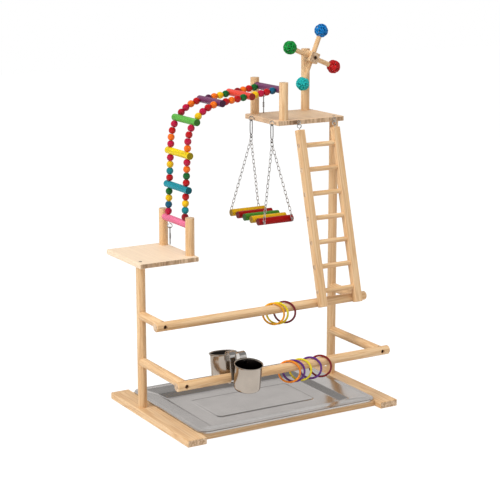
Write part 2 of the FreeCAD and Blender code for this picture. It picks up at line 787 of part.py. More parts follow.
# ---------------------------------------------------------------------------
# Screw eyes and the two snap clips
# ---------------------------------------------------------------------------
eyes = []
for y in ("swing_front_y", "swing_rear_y"):
    eyes.append(screw_eye(spot("upper_board_left", y, "eye_z"), -X_AXIS, Z_AXIS))
for x in LADDER_EYES:
    eyes.append(screw_eye(spot(x, "upper_board_front", "eye_z"), -Y_AXIS, Z_AXIS))
clip_angle = math.radians(value("clip_turn"))
clip_axis = Vector(math.cos(clip_angle), -math.sin(clip_angle), 0)
clip_across = Vector(math.sin(clip_angle), math.cos(clip_angle), 0)
for end in ("lower", "upper"):
    eyes.append(screw_eye(spot(f"{end}_bridge_x", f"{end}_clip_y",
                               f"{end}_rung_z - rung_dia / 2"), -Z_AXIS, clip_axis))
keep("screw_eyes", fixed("screw_eye_group", Part.makeCompound(eyes)))


def long_loop(top, length, wide, across, down, steps=3):
    """Middle line of a long closed loop that hangs from its top."""
    radius = wide / 2
    upper = bow(top + down * radius, radius, 180, 0, steps + 1, across, down * -1)
    lower = bow(top + down * (length - radius), radius, 0, -180, steps + 1, across, down * -1)
    return upper + lower


for end in ("lower", "upper"):
    foot = spot(f"{end}_bridge_x", f"{end}_clip_y", f"{end}_rung_z - rung_dia / 2")
    drop = value("eye_reach + eye_dia / 2 - eye_wire / 2 - clip_wire / 2 - link_play")
    top = foot - Z_AXIS * drop
    loop = wire(long_loop(top, value("clip_length"), value("clip_wide"), clip_across, -Z_AXIS),
                clip_axis, value("clip_wire / 2"), closed=True)
    barrel = Part.makeCylinder(value("clip_wire"), value("clip_length * 0.3"),
                               top + clip_across * value("clip_wide / 2")
                               - Z_AXIS * value("clip_length * 0.7"), Z_AXIS)
    keep(f"{end}_clip", fixed(f"{end}_snap_clip", loop.fuse(barrel)))


# ---------------------------------------------------------------------------
# Swing: two hooks, four chains, two tie wires and five dowels
# ---------------------------------------------------------------------------
hooks = []
hook_ends = []
for y in ("swing_front_y", "swing_rear_y"):
    top = spot("swing_x", y, "swing_pivot_z")
    loop = wire(long_loop(top, value("hook_length"), value("hook_wide"), Y_AXIS, -Z_AXIS),
                X_AXIS, value("hook_wire / 2"), closed=True)
    ring_radius = value("hook_ring_dia / 2")
    centre = top - Z_AXIS * (value("hook_length") + ring_radius)
    ring = wire(bow(centre, ring_radius, 0, 330, 11, Y_AXIS, Z_AXIS),
                X_AXIS, value("hook_wire / 2"), closed=True)
    hooks.append(loop.fuse(ring))
    hook_ends.append(centre - Z_AXIS * ring_radius)
keep("swing_hooks", fixed("swing_hook_pair", Part.makeCompound(hooks)))

seat_span = "2 * dowel_pitch + dowel_dia / 2 + tie_reach"
ties = []
tie_eyes = {}
for sign, text in ((-1, "swing_x - tie_spread / 2"), (1, "swing_x + tie_spread / 2")):
    front = spot(text, f"seat_y - ({seat_span})", "seat_z")
    rear = spot(text, f"seat_y + ({seat_span})", "seat_z")
    radius = value("tie_eye_dia / 2")
    front_ring = bow(front, radius, 30, 360, 10, Y_AXIS, Z_AXIS)
    rear_ring = bow(rear, radius, 180, 510, 10, Y_AXIS, Z_AXIS)
    ties.append(wire(front_ring + rear_ring, X_AXIS, value("tie_dia / 2")))
    tie_eyes[sign, "front"] = front + Z_AXIS * radius
    tie_eyes[sign, "rear"] = rear + Z_AXIS * radius
keep("swing_tie_wires", fixed("tie_wire_pair", Part.makeCompound(ties)))

tie_bores = [rod(f"tie_bore_{index}", "tie_dia + string_play", f"2 * ({seat_span})", x,
                 f"seat_y - ({seat_span})", "seat_z", "y")
             for index, x in enumerate(("swing_x - tie_spread / 2", "swing_x + tie_spread / 2"))]
dowels = {}
for index, colour in enumerate(SWING_COLOURS):
    dowel = rod(f"swing_rod_{index}", "dowel_dia", "dowel_length", "swing_x - dowel_length / 2",
                f"seat_y + {index - 2} * dowel_pitch", "seat_z", "x")
    dowels.setdefault(colour, []).append(cut(f"swing_dowel_{index}", dowel, tie_bores))
for colour, items in dowels.items():
    keep(f"swing_{colour}_dowels", group(f"swing_{colour}_group", items))


def chain(hook, eye, aside):
    """Links from the ring of a hook to an eye of the seat, turned a quarter each."""
    thin = value("chain_wire")
    play = value("link_play")
    hook = hook + Y_AXIS * aside
    way = (eye - hook).normalize()
    top = hook - way * (value("hook_wire / 2") + play / 2)
    bottom = eye + way * (value("tie_dia / 2") + play / 2)
    pitch = (bottom - top).Length / CHAIN_LINKS
    half = (pitch + thin + play) / 2
    wide = (value("chain_wide") - thin) / 2
    flat = way.cross(Y_AXIS).normalize()
    links = []
    for number in range(CHAIN_LINKS):
        middle = top + way * (pitch * (number + 0.5))
        across = flat if number % 2 == 0 else way.cross(flat).normalize()
        shape = [(half, wide * 0.45), (half - wide * 0.8, wide),
                 (-half + wide * 0.8, wide), (-half, wide * 0.45)]
        points = [middle + way * along + across * out for along, out in shape]
        points += [middle + way * along - across * out for along, out in reversed(shape)]
        links.append(wire(points, way.cross(across), thin / 2, sides=4, closed=True))
    return links


links = []
for (sign, end), eye in tie_eyes.items():
    hook = hook_ends[0] if end == "front" else hook_ends[1]
    links += chain(hook, eye, sign * value("chain_wire / 2 + link_play / 2"))
keep("swing_chains", fixed("swing_chain_links", Part.makeCompound(links)))


# ---------------------------------------------------------------------------
# Ladder, made upright about its pivot and then leaned on the upper perch
# ---------------------------------------------------------------------------
reach_y = value("ladder_pivot_y - upper_perch_y")
reach_z = value("ladder_pivot_z - upper_perch_z")
touch = value("perch_radius + rail_deep / 2 + ladder_rest_gap")
lean = math.degrees(math.atan2(reach_y, reach_z)
                    + math.asin(touch / math.hypot(reach_y, reach_z)))
LADDER_PLACE = Placement(spot("0", "ladder_pivot_y", "ladder_pivot_z"), Rotation(X_AXIS, -lean))
RAIL_TOP = "-(eye_dia / 2 + eye_reach)"


rungs = []
for number in range(LADDER_RUNGS):
    rung = doc.addObject("Part::Cylinder", f"ladder_rung_{number + 1}")
    bind(rung, "Radius", "ladder_rung_dia / 2")
    bind(rung, "Height", "rail_spread + rail_wide")
    rung.Placement = Placement(Vector(), ALONG["x"])
    bind(rung, "Placement.Base.x", "ladder_x - rail_spread / 2 - rail_wide / 2")
    bind(rung, "Placement.Base.z",
         f"{RAIL_TOP} - ladder_rung_first - {number} * ladder_rung_pitch")
    rungs.append(rung)
rails = new_body("ladder_rail_pair")
sketch = sketch_on(rails, "XY_Plane", RAIL_TOP)
for x in LADDER_EYES:
    rectangle(sketch, f"{x} - rail_wide / 2", f"{x} + rail_wide / 2",
              "-rail_deep / 2", "rail_deep / 2")
ease(rails, pad(rails, sketch, "rail_length", back=True), "rail_chamfer")
bores = sketch_on(rails, "XY_Plane", RAIL_TOP)
for x in LADDER_EYES:
    circle(bores, x, "0", "eye_wire + eye_play")
pocket(rails, bores, "eye_shank + 2 * eye_play")
rung_bores = sketch_on(rails, "YZ_Plane", "ladder_x - rail_spread / 2 - rail_wide / 2")
for number in range(LADDER_RUNGS):
    circle(rung_bores, "0", f"{RAIL_TOP} - ladder_rung_first - {number} * ladder_rung_pitch",
           "ladder_rung_dia")
pocket(rails, rung_bores, "rail_spread + rail_wide", back=True)
rails.Placement = LADDER_PLACE
keep("ladder_rails", rails)
rung_group = group("ladder_rung_group", rungs)
rung_group.Placement = LADDER_PLACE
keep("ladder_rungs", rung_group)

ladder_eyes = []
for x in LADDER_EYES:
    foot = Vector(value(x), 0, value(RAIL_TOP))
    ladder_eyes.append(screw_eye(foot, Z_AXIS, X_AXIS))
ladder_eye_pair = fixed("ladder_eye_pair", Part.makeCompound(ladder_eyes))
ladder_eye_pair.Placement = LADDER_PLACE
keep("ladder_eyes", ladder_eye_pair)


# ---------------------------------------------------------------------------
# Windmill: a square hub with four spokes, each with a woven ball
# ---------------------------------------------------------------------------
def mill_turn(quarter):
    return Rotation(Y_AXIS, value("hub_turn") + 90 * quarter)


hub = new_body("hub_block")
sketch = sketch_on(hub, "XZ_Plane")
rectangle(sketch, "-hub_size / 2", "hub_size / 2", "-hub_size / 2", "hub_size / 2")
ease(hub, pad(hub, sketch, "hub_deep", middle=True), "edge_chamfer")
bore = sketch_on(hub, "XZ_Plane", "hub_deep / 2 + 1")
circle(bore, "0", "0", "screw_dia + 2 * hub_play")
pocket(hub, bore, "hub_deep + 2")
place(hub, "mill_x", "mill_y", "mill_z", mill_turn(0))

spokes = []
for quarter in range(4):
    away = mill_turn(quarter).multVec(Z_AXIS)
    first = value("hub_size / 2 - spoke_seat")
    last = value("ball_reach - ball_dia / 2 + spoke_seat")
    spoke = doc.addObject("Part::Cylinder", f"spoke_{quarter}")
    bind(spoke, "Radius", "spoke_dia / 2")
    spoke.Height = last - first
    spoke.Placement = Placement(spot("mill_x", "mill_y", "mill_z") + away * first,
                                mill_turn(quarter))
    spokes.append(spoke)
    ball = doc.addObject("Part::Sphere", f"{BALLS[quarter]}_sphere")
    bind(ball, "Radius", "ball_dia / 2")
    ball.Placement = Placement(
        spot("mill_x", "mill_y", "mill_z") + away * value("ball_reach"), mill_turn(quarter))
    keep(f"windmill_{BALLS[quarter]}_ball", cut(f"{BALLS[quarter]}_ball_cut", ball, [spoke]))
keep("windmill_hub", cut("windmill_hub_cut", hub, spokes))
keep("windmill_spokes", group("spoke_group", spokes))


# ---------------------------------------------------------------------------
# Tray: rolled lip, flat flange, pan and a raised panel, of one sheet
# ---------------------------------------------------------------------------
tray = new_body("tray_sheet_body")
HALF_WIDE, HALF_DEEP = "tray_wide / 2", "tray_deep / 2"
PAN_X, PAN_Y = "tray_wide / 2 - tray_flange", "tray_deep / 2 - tray_flange"


def tray_sketch(shift, half_wide, half_deep, corner):
    sketch = sketch_on(tray, "XY_Plane", shift)
    round_rectangle(sketch, half_wide, half_deep, corner)
    return sketch


slab = pad(tray, tray_sketch("-tray_lip_high", HALF_WIDE, HALF_DEEP, "tray_corner"),
           "tray_lip_high")
doc.recompute()
rim = tray.newObject("PartDesign::Fillet", "tray_rim")
top = [number for number, face in enumerate(slab.Shape.Faces, 1)
       if face.normalAt(0, 0).z > 0.9][0]
rim.Base = (slab, [f"Face{top}"])
bind(rim, "Radius", "tray_lip_round")
pocket(tray, tray_sketch("-tray_lip_high", f"{HALF_WIDE} - tray_lip_wide",
                         f"{HALF_DEEP} - tray_lip_wide", "tray_corner - tray_lip_wide"),
       "tray_lip_high - tray_sheet", back=True)
for kind, under in (("Additive", "tray_sheet"), ("Subtractive", "0")):
    wall = tray.newObject(f"PartDesign::{kind}Loft", f"{kind.lower()}_wall")
    wall.Profile = tray_sketch(f"-{under}", PAN_X, PAN_Y, "pan_corner")
    wall.Sections = [tray_sketch(f"-pan_drop - {under}", f"{PAN_X} - pan_wall",
                                 f"{PAN_Y} - pan_wall", "floor_corner")]
    wall.Ruled = True
    doc.recompute()
pad(tray, tray_sketch("-pan_drop", "panel_wide / 2", "panel_deep / 2", "panel_corner"),
    "panel_rise")
pocket(tray, tray_sketch("-pan_drop - tray_sheet", "panel_wide / 2 - tray_sheet",
                         "panel_deep / 2 - tray_sheet", "panel_corner - tray_sheet"),
       "panel_rise", back=True)
keep("tray", place(tray, "0", "0", "tray_top"))


# ---------------------------------------------------------------------------
# Cups and straps, made about the perch with the cup on the -Y side
# ---------------------------------------------------------------------------
for cup, lean_turn in (("front", Rotation(X_AXIS, value("cup_lean"))),
                       ("rear", Rotation(Z_AXIS, 180) * Rotation(X_AXIS, value("cup_lean")))):
    pail = new_body(f"{cup}_cup_shell")
    sketch = sketch_on(pail, "XZ_Plane")
    side, rim_side = "cup_dia / 2", "cup_rim_dia / 2"
    flare = f"({rim_side} - {side})"
    neck = f"cup_high - cup_wall - {flare}"
    outline(sketch, [
        (f"{side} - cup_round", "0"), (side, "cup_round", "cup_round", "left"),
        (side, neck), (rim_side, "cup_high - cup_wall", flare, "right"),
        (rim_side, "cup_high"), (f"{side} - cup_wall", neck, f"{flare} + cup_wall", "left"),
        (f"{side} - cup_wall", "cup_round"),
        (f"{side} - cup_round", "cup_wall", "cup_round - cup_wall", "right"),
        ("0", "cup_wall"), ("0", "0"),
    ])
    turned(pail, sketch)
    base = spot(f"{cup}_cup_x", "lower_perch_y", "lower_perch_z")
    seat = lean_turn.multVec(Vector(0, -value("cup_away"), value("cup_rise - cup_high")))
    pail.Placement = Placement(base + seat, lean_turn)

    band = new_body(f"{cup}_strap_band")
    sketch = sketch_on(band, "YZ_Plane")
    inner, outer, high, end = "strap_inner", "strap_outer", "strap_bend_high", "strap_leg_end"
    cos_end, sin_end = "cos(-90 - strap_wrap)", "sin(-90 - strap_wrap)"
    outline(sketch, [
        (f"-({outer})", high), ("0", f"{high} + {outer}", outer, "right"),
        (outer, high, outer, "right"), (outer, "0"),
        ("0", f"-({outer})", outer, "right"),
        (f"{outer} * {cos_end}", f"{outer} * {sin_end}", outer, "right"),
        (f"{inner} * {cos_end}", f"{inner} * {sin_end}"),
        ("0", f"-({inner})", inner, "left"), (inner, "0", inner, "left"),
        (inner, high), ("0", f"{high} + {inner}", inner, "left"),
        (f"-({inner})", high, inner, "left"), (f"-({inner})", end), (f"-({outer})", end),
    ])
    pad(band, sketch, "strap_wide", middle=True)
    rivet_bore = sketch_on(band, "XZ_Plane", "0")
    circle(rivet_bore, "0", "rivet_high", "rivet_dia")
    pocket(band, rivet_bore, "strap_outer + 1", back=True)
    strap_base = spot(f"{cup}_strap_x", "lower_perch_y", "lower_perch_z")
    band.Placement = Placement(strap_base, lean_turn)

    def rivet_rod(name, dia, first, last):
        item = doc.addObject("Part::Cylinder", name)
        bind(item, "Radius", f"{dia} / 2")
        item.Height = value(f"{last} - ({first})")
        start = Vector(0, -value(first), value("rivet_high"))
        item.Placement = Placement(strap_base + lean_turn.multVec(start),
                                   lean_turn * Rotation(X_AXIS, 90))
        return item

    drift = value(f"{cup}_cup_x - {cup}_strap_x")
    sink = value("cup_dia / 2") - math.sqrt(value("cup_dia / 2 - cup_wall") ** 2 - drift ** 2)
    wall_in = f"cup_away - cup_dia / 2 + {sink}"
    edge = abs(drift) + value("rivet_head_dia / 2")
    head_sink = value("cup_dia / 2") - math.sqrt(value("cup_dia / 2 - cup_wall") ** 2 - edge ** 2)
    head_in = f"cup_away - cup_dia / 2 + {head_sink}"
    shank = rivet_rod(f"{cup}_rivet_shank", "rivet_dia", "strap_inner",
                      f"{head_in} + rivet_head / 2")
    spacer = rivet_rod(f"{cup}_rivet_spacer", "spacer_dia", "strap_outer",
                       f"{wall_in} + 1")
    envelope = doc.addObject("Part::Cylinder", f"{cup}_cup_envelope")
    bind(envelope, "Radius", "cup_dia / 2")
    bind(envelope, "Height", "cup_high")
    envelope.Placement = pail.Placement
    spacer_cut = cut(f"{cup}_rivet_tube", spacer, [envelope])
    head = rivet_rod(f"{cup}_rivet_head", "rivet_head_dia", head_in,
                     f"{head_in} + rivet_head")
    rivet = doc.addObject("Part::MultiFuse", f"{cup}_rivet")
    rivet.Shapes = [shank, spacer_cut, head]
    keep(f"{cup}_cup", cut(f"{cup}_cup_cut", pail, [shank]))
    keep(f"{cup}_cup_strap", group(f"{cup}_strap_group", [band, rivet]))


# ---------------------------------------------------------------------------
# Rings on the perches
# ---------------------------------------------------------------------------
yaw = math.radians(value("ring_yaw"))
facing = Vector(math.cos(yaw), math.sin(yaw), 0)
across = Vector(-math.sin(yaw), math.cos(yaw), 0)
for perch, count in (("upper", 3), ("lower", 5)):
    for number in range(1, count + 1):
        middle = bow(Vector(), value("ring_dia / 2"), 0, 360, RING_RUNS, across, Z_AXIS)[:-1]
        ring = wire(middle, facing, value("ring_wire / 2"), sides=RING_SIDES, closed=True)
        keep(f"{perch}_ring_{number}", place(
            fixed(f"{perch}_ring_{number}_wire", ring), f"{perch}_ring_{number}_x",
            f"{perch}_perch_y", f"{perch}_perch_z - ring_drop"))


# ---------------------------------------------------------------------------
# Check every feature, then write one STEP file for each sub-part
# ---------------------------------------------------------------------------
doc.recompute()
for item in doc.Objects:
    bad = {"Invalid", "Error"} & set(item.State)
    if bad:
        raise RuntimeError(f"{item.Name} is {sorted(bad)}")
os.makedirs("parts", exist_ok=True)
for label, item in nodes.items():
    shape = item.Shape
    if shape.isNull() or not shape.isValid() or not shape.Solids:
        raise RuntimeError(f"{label} has no valid shape")
for label, item in nodes.items():
    item.Shape.exportStep(f"parts/{label}.step")
print(len(nodes), "nodes", sum(len(item.Shape.Solids) for item in nodes.values()), "solids")
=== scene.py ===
"""A tabletop play stand for parrots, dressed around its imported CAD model, in metres."""
import math
import random

import bmesh
import bpy
from mathutils import Matrix, Vector


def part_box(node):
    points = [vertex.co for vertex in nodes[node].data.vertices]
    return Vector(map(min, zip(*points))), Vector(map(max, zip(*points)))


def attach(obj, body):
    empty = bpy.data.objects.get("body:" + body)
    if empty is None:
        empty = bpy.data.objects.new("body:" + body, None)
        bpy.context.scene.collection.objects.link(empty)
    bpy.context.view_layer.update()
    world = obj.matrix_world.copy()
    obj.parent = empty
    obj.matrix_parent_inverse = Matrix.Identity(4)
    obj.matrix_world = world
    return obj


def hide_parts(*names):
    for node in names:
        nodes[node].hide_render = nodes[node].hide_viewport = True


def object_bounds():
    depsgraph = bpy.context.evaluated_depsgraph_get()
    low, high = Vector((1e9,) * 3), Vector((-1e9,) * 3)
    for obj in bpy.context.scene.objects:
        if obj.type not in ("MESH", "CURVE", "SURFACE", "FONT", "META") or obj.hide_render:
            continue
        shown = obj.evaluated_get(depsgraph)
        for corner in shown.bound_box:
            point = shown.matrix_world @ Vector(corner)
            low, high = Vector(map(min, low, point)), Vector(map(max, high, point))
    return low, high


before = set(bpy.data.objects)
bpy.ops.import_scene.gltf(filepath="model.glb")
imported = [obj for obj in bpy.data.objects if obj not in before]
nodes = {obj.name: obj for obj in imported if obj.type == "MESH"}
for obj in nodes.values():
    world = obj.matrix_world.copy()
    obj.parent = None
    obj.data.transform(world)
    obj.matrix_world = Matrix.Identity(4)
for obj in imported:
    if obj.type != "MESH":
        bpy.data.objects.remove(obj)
cad_low, cad_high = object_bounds()


# ---------------------------------------------------------------------------
# The studio: a white table top that runs into a white backdrop, one large
# soft lamp from the upper left, weaker ones above and in front, and a long lens
# that stands to the left of the stand and a little above it.
CAMERA_PLACE = Vector((-1.4822, -2.4505, 0.9681))
CAMERA_TURN = math.radians(30.54)       # to the right of straight ahead
CAMERA_DIP = math.radians(12.884)       # below the horizon
CAMERA_LENS = 107.24                    # mm, on a sensor 36 mm wide
FLOOR_HALF = 6.0
FLOOR_GAP = 0.0004                      # table top below the soles of the feet
ROOM_LIGHT = 0.50
TABLE_GLOW = 0.89                       # keeps the table top as white as the backdrop
TABLE_SHADE = 0.24                      # share of its white that takes the shadows
TABLE_BOUNCE = 0.80
WHITE = (1.0, 1.0, 1.0)
DIM_WALL = (0.58, 0.57, 0.56)
CEILING = (0.30, 0.30, 0.30)
# What polished steel sees of the room, by the height of the direction from 0 to 1.
MIRRORED_ROOM = [(0.03, WHITE), (0.13, DIM_WALL), (0.30, DIM_WALL), (0.37, WHITE),
                 (0.50, WHITE), (0.57, CEILING)]

scene = bpy.context.scene
scene.view_settings.view_transform = "Standard"

camera_data = bpy.data.cameras.new("studio_camera")
camera_data.lens = CAMERA_LENS
camera_data.sensor_width = 36.0
camera_data.clip_start = 0.05
camera_data.clip_end = 50.0
camera = bpy.data.objects.new("studio_camera", camera_data)
camera.location = CAMERA_PLACE
camera.rotation_euler = (math.radians(90) - CAMERA_DIP, 0.0, -CAMERA_TURN)
scene.collection.objects.link(camera)
scene.camera = camera


def add_node(tree, kind, inputs=None, **settings):
    """One shader node; an input is fed by a socket or holds a plain value."""
    item = tree.nodes.new("ShaderNode" + kind)
    for name, setting in settings.items():
        setattr(item, name, setting)
    for name, feed in (inputs or {}).items():
        if isinstance(feed, bpy.types.NodeSocket):
            tree.links.new(feed, item.inputs[name])
        else:
            item.inputs[name].default_value = feed
    return item


def sum_up(tree, kind, first, second, limit=False):
    """The output of a Math node."""
    return add_node(tree, "Math", {0: first, 1: second}, operation=kind,
                    use_clamp=limit).outputs[0]


def colour_steps(tree, fed, steps):
    """A ramp from (place, colour) steps, read by a socket."""
    ramp = add_node(tree, "ValToRGB", {"Fac": fed})
    for index, (place, colour) in enumerate(steps):
        stop = ramp.color_ramp.elements[index] if index < 2 else ramp.color_ramp.elements.new(place)
        stop.position = place
        stop.color = (*colour, 1.0)
    return ramp.outputs["Color"]


def seen_directly(tree):
    """One for what the camera sees straight, in polished metal or through glass."""
    rays = add_node(tree, "LightPath")
    seen = sum_up(tree, "MAXIMUM", rays.outputs["Is Camera Ray"], rays.outputs["Is Glossy Ray"])
    return sum_up(tree, "MAXIMUM", seen, rays.outputs["Is Transmission Ray"]), rays


world = bpy.data.worlds.new("white_studio")
world.use_nodes = True
scene.world = world
tree = world.node_tree
tree.nodes.clear()
seen, rays = seen_directly(tree)
direction = add_node(tree, "TexCoord").outputs["Generated"]
height = add_node(tree, "SeparateXYZ", {0: direction}).outputs["Z"]
mirrored = add_node(tree, "MixRGB", {
    "Fac": rays.outputs["Is Glossy Ray"], "Color1": (*WHITE, 1.0),
    "Color2": colour_steps(tree, height, MIRRORED_ROOM)})
shown = add_node(tree, "Background", {"Color": mirrored.outputs[0], "Strength": 1.0})
room = add_node(tree, "Background", {"Color": (*WHITE, 1.0), "Strength": ROOM_LIGHT})
both = add_node(tree, "MixShader", {0: seen, 1: room.outputs[0], 2: shown.outputs[0]})
add_node(tree, "OutputWorld", {"Surface": both.outputs[0]})


def lamp(name, place, size, power):
    """A square soft lamp that faces the middle of the stand."""
    data = bpy.data.lights.new(name, "AREA")
    data.shape = "SQUARE"
    data.size = size
    data.energy = power
    item = bpy.data.objects.new(name, data)
    item.location = place
    aim = (cad_low + cad_high) / 2 - Vector(place)
    item.rotation_euler = aim.to_track_quat("-Z", "Y").to_euler()
    item.visible_glossy = False
    scene.collection.objects.link(item)


lamp("key_lamp", (-2.7, -0.3, 2.5), 1.2, 62.0)
lamp("top_lamp", (-0.4, -0.5, 3.0), 1.8, 24.0)
lamp("side_lamp", (1.6, -2.6, 1.3), 1.6, 6.0)


def table_top():
    """The floor: plain white, with only the soft shadow of the stand on it."""
    mesh = bpy.data.meshes.new("table_top")
    corners = [(-FLOOR_HALF, -FLOOR_HALF), (FLOOR_HALF, -FLOOR_HALF),
               (FLOOR_HALF, FLOOR_HALF), (-FLOOR_HALF, FLOOR_HALF)]
    mesh.from_pydata([(x, y, -FLOOR_GAP) for x, y in corners], [], [(0, 1, 2, 3)])
    item = bpy.data.objects.new("table_top", mesh)
    scene.collection.objects.link(item)
    material = bpy.data.materials.new("white_table")
    material.use_nodes = True
    tree = material.node_tree
    tree.nodes.clear()
    seen, _ = seen_directly(tree)
    plain = add_node(tree, "BsdfDiffuse", {"Color": (*(TABLE_BOUNCE,) * 3, 1.0)})
    shaded = add_node(tree, "BsdfDiffuse", {"Color": (*(TABLE_SHADE,) * 3, 1.0)})
    glow = add_node(tree, "Emission", {"Color": (*WHITE, 1.0), "Strength": TABLE_GLOW})
    bright = add_node(tree, "AddShader", {0: shaded.outputs[0], 1: glow.outputs[0]})
    both = add_node(tree, "MixShader", {0: seen, 1: plain.outputs[0], 2: bright.outputs[0]})
    add_node(tree, "OutputMaterial", {"Surface": both.outputs[0]})
    mesh.materials.append(material)


table_top()


# ---------------------------------------------------------------------------
# Feet and crossbars: planed pine boards with eased edges, grain along their
# length and growth rings on the sawn ends. The crossbars are glued between
# the feet, and the stand rests on the feet alone.
PINE_PALE = (0.900, 0.635, 0.370)
PINE_MIDDLE = (0.830, 0.530, 0.265)
PINE_LINE = (0.620, 0.330, 0.135)
PINE_END_PALE = (0.800, 0.580, 0.380)
PINE_END_DARK = (0.470, 0.290, 0.160)
AXES = {"x": Vector((1, 0, 0)), "y": Vector((0, 1, 0)), "z": Vector((0, 0, 1))}
FIGURE_WIDE = 0.011                     # spacing of the figure across the grain
FIGURE_LONG = 0.260                     # and along it
FIGURE_BANDS = 42.0                     # how finely the figure breaks up into lines
RING_WIDE = 0.0034                      # spacing of the growth rings on sawn ends
STAVE_JOINT = 0.488                     # from the middle of a stave, whose width is 1
SMOOTH_ANGLE = math.radians(38)


def new_finish(name, roughness, metal=0.0, coat=0.0, sheen=0.5):
    """A material whose plain values sit on the shader's own sockets."""
    material = bpy.data.materials.new(name)
    material.use_nodes = True
    tree = material.node_tree
    shader = tree.nodes["Principled BSDF"]
    shader.inputs["Roughness"].default_value = roughness
    shader.inputs["Metallic"].default_value = metal
    shader.inputs["Coat Weight"].default_value = coat
    shader.inputs["Coat Roughness"].default_value = 0.15
    shader.inputs["Specular IOR Level"].default_value = sheen
    return material, tree, shader


def stretched(tree, coordinates, grain, across, along, seed, tilt=0.0):
    """Object coordinates, turned by tilt about X and drawn out along the grain."""
    turned_back = add_node(tree, "Mapping", {
        "Vector": coordinates, "Rotation": (tilt, 0.0, 0.0)}).outputs[0]
    scale = [1 / along if axis == grain else 1 / across for axis in "xyz"]
    return add_node(tree, "Mapping", {
        "Vector": turned_back, "Scale": scale,
        "Location": (seed * 3.7, seed * 6.1, seed * 8.3)}).outputs[0]


def soft_bump(tree, shader, fed, depth):
    """Relief of that depth in metres from a socket between 0 and 1."""
    relief = add_node(tree, "Bump", {"Height": fed, "Distance": depth, "Strength": 1.0})
    tree.links.new(relief.outputs[0], shader.inputs["Normal"])


def end_face(tree, coordinates, grain, tilt):
    """One on the faces that are sawn across the grain."""
    axis = Matrix.Rotation(-tilt, 3, "X") @ AXES[grain]
    facing = add_node(tree, "VectorMath", {0: coordinates.outputs["Normal"], 1: axis},
                      operation="DOT_PRODUCT").outputs["Value"]
    return sum_up(tree, "GREATER_THAN", sum_up(tree, "ABSOLUTE", facing, 0.0), 0.75)


def blend_colour(tree, share, first, second, kind="MIX"):
    mixed = add_node(tree, "MixRGB", {"Fac": share, "Color1": first, "Color2": second},
                     blend_type=kind)
    return mixed.outputs[0]


def pine(name, grain, seed, tilt=0.0, stave=None, tint=None):
    """Sanded pine. A stave is the width of the strips that a wide board is glued from,
    and a tint is a colour and the share that it takes."""
    material, tree, shader = new_finish(name, 0.52)
    coordinates = add_node(tree, "TexCoord")
    place = coordinates.outputs["Object"]
    figure_place = stretched(tree, place, grain, FIGURE_WIDE, FIGURE_LONG, seed, tilt)
    fibre_place = stretched(tree, place, grain, 0.0007, 0.030, seed, tilt)
    shift = 0.0
    joint = None
    if stave is not None:
        across = add_node(tree, "SeparateXYZ", {0: place}).outputs["X"]
        strip = sum_up(tree, "DIVIDE", across, stave)
        cell = sum_up(tree, "FLOOR", strip, 0.0)
        chance = add_node(tree, "TexWhiteNoise", {"W": cell}, noise_dimensions="1D")
        shift = sum_up(tree, "MULTIPLY", chance.outputs["Value"], 40.0)
        edge = sum_up(tree, "ABSOLUTE", sum_up(
            tree, "SUBTRACT", sum_up(tree, "FRACT", strip, 0.0), 0.5), 0.0)
        joint = sum_up(tree, "GREATER_THAN", edge, STAVE_JOINT)
    figure = add_node(tree, "TexNoise", {
        "Vector": figure_place, "W": shift, "Scale": 1.0, "Detail": 2.0,
        "Distortion": 0.3}, noise_dimensions="4D").outputs[0]
    waves = sum_up(tree, "SINE", sum_up(tree, "MULTIPLY", figure, FIGURE_BANDS), 0.0)
    waves = sum_up(tree, "ADD", sum_up(tree, "MULTIPLY", waves, 0.5), 0.5)
    bands = sum_up(tree, "POWER", waves, 2.2)
    fibre = add_node(tree, "TexNoise", {
        "Vector": fibre_place, "Scale": 1.0, "Detail": 3.0}).outputs[0]
    tone = colour_steps(tree, figure, [(0.34, PINE_PALE), (0.66, PINE_MIDDLE)])
    lined = blend_colour(tree, sum_up(tree, "MULTIPLY", bands, 0.55), tone, (*PINE_LINE, 1.0))
    speck = colour_steps(tree, fibre, [(0.30, (0.86, 0.82, 0.78)), (0.62, (1.0, 1.0, 1.0))])
    side = blend_colour(tree, 0.75, lined, speck, "MULTIPLY")
    ring_place = stretched(tree, place, grain, RING_WIDE, 0.6, seed, tilt)
    if stave is not None:
        ring_place = add_node(tree, "Mapping", {
            "Vector": ring_place, "Scale": (0.8, 1.0, 0.10)}).outputs[0]
    rings = add_node(tree, "TexNoise", {
        "Vector": ring_place, "W": shift, "Scale": 0.55, "Detail": 1.5,
        "Distortion": 1.2}, noise_dimensions="4D").outputs[0]
    sawn = colour_steps(tree, rings, [(0.40, PINE_END_PALE), (0.60, PINE_END_DARK)])
    if joint is not None:
        side = blend_colour(tree, sum_up(tree, "MULTIPLY", joint, 0.45), side, (*PINE_LINE, 1.0))
        hue = colour_steps(tree, chance.outputs["Value"], [
            (0.0, (0.90, 0.86, 0.82)), (1.0, (1.0, 1.0, 1.0))])
        side = blend_colour(tree, 1.0, side, hue, "MULTIPLY")
        sawn = blend_colour(tree, 0.8, sawn, colour_steps(tree, chance.outputs["Value"], [
            (0.0, (0.50, 0.42, 0.36)), (0.7, (1.0, 1.0, 1.0))]), "MULTIPLY")
    if tint is not None:
        side = blend_colour(tree, tint[3], side, (*tint[:3], 1.0))
    whole = blend_colour(tree, end_face(tree, coordinates, grain, tilt), side, sawn)
    tree.links.new(whole, shader.inputs["Base Color"])
    soft_bump(tree, shader, fibre, 0.00018)
    return material


def smooth_shape(mesh):
    """Round faces shade smoothly and real edges stay sharp."""
    mesh.shade_smooth()
    mesh.set_sharp_from_angle(angle=SMOOTH_ANGLE)


def refinish(node, material):
    """Give a CAD node that is shown its finish."""
    mesh = nodes[node].data
    mesh.materials.clear()
    mesh.materials.append(material)
    smooth_shape(mesh)


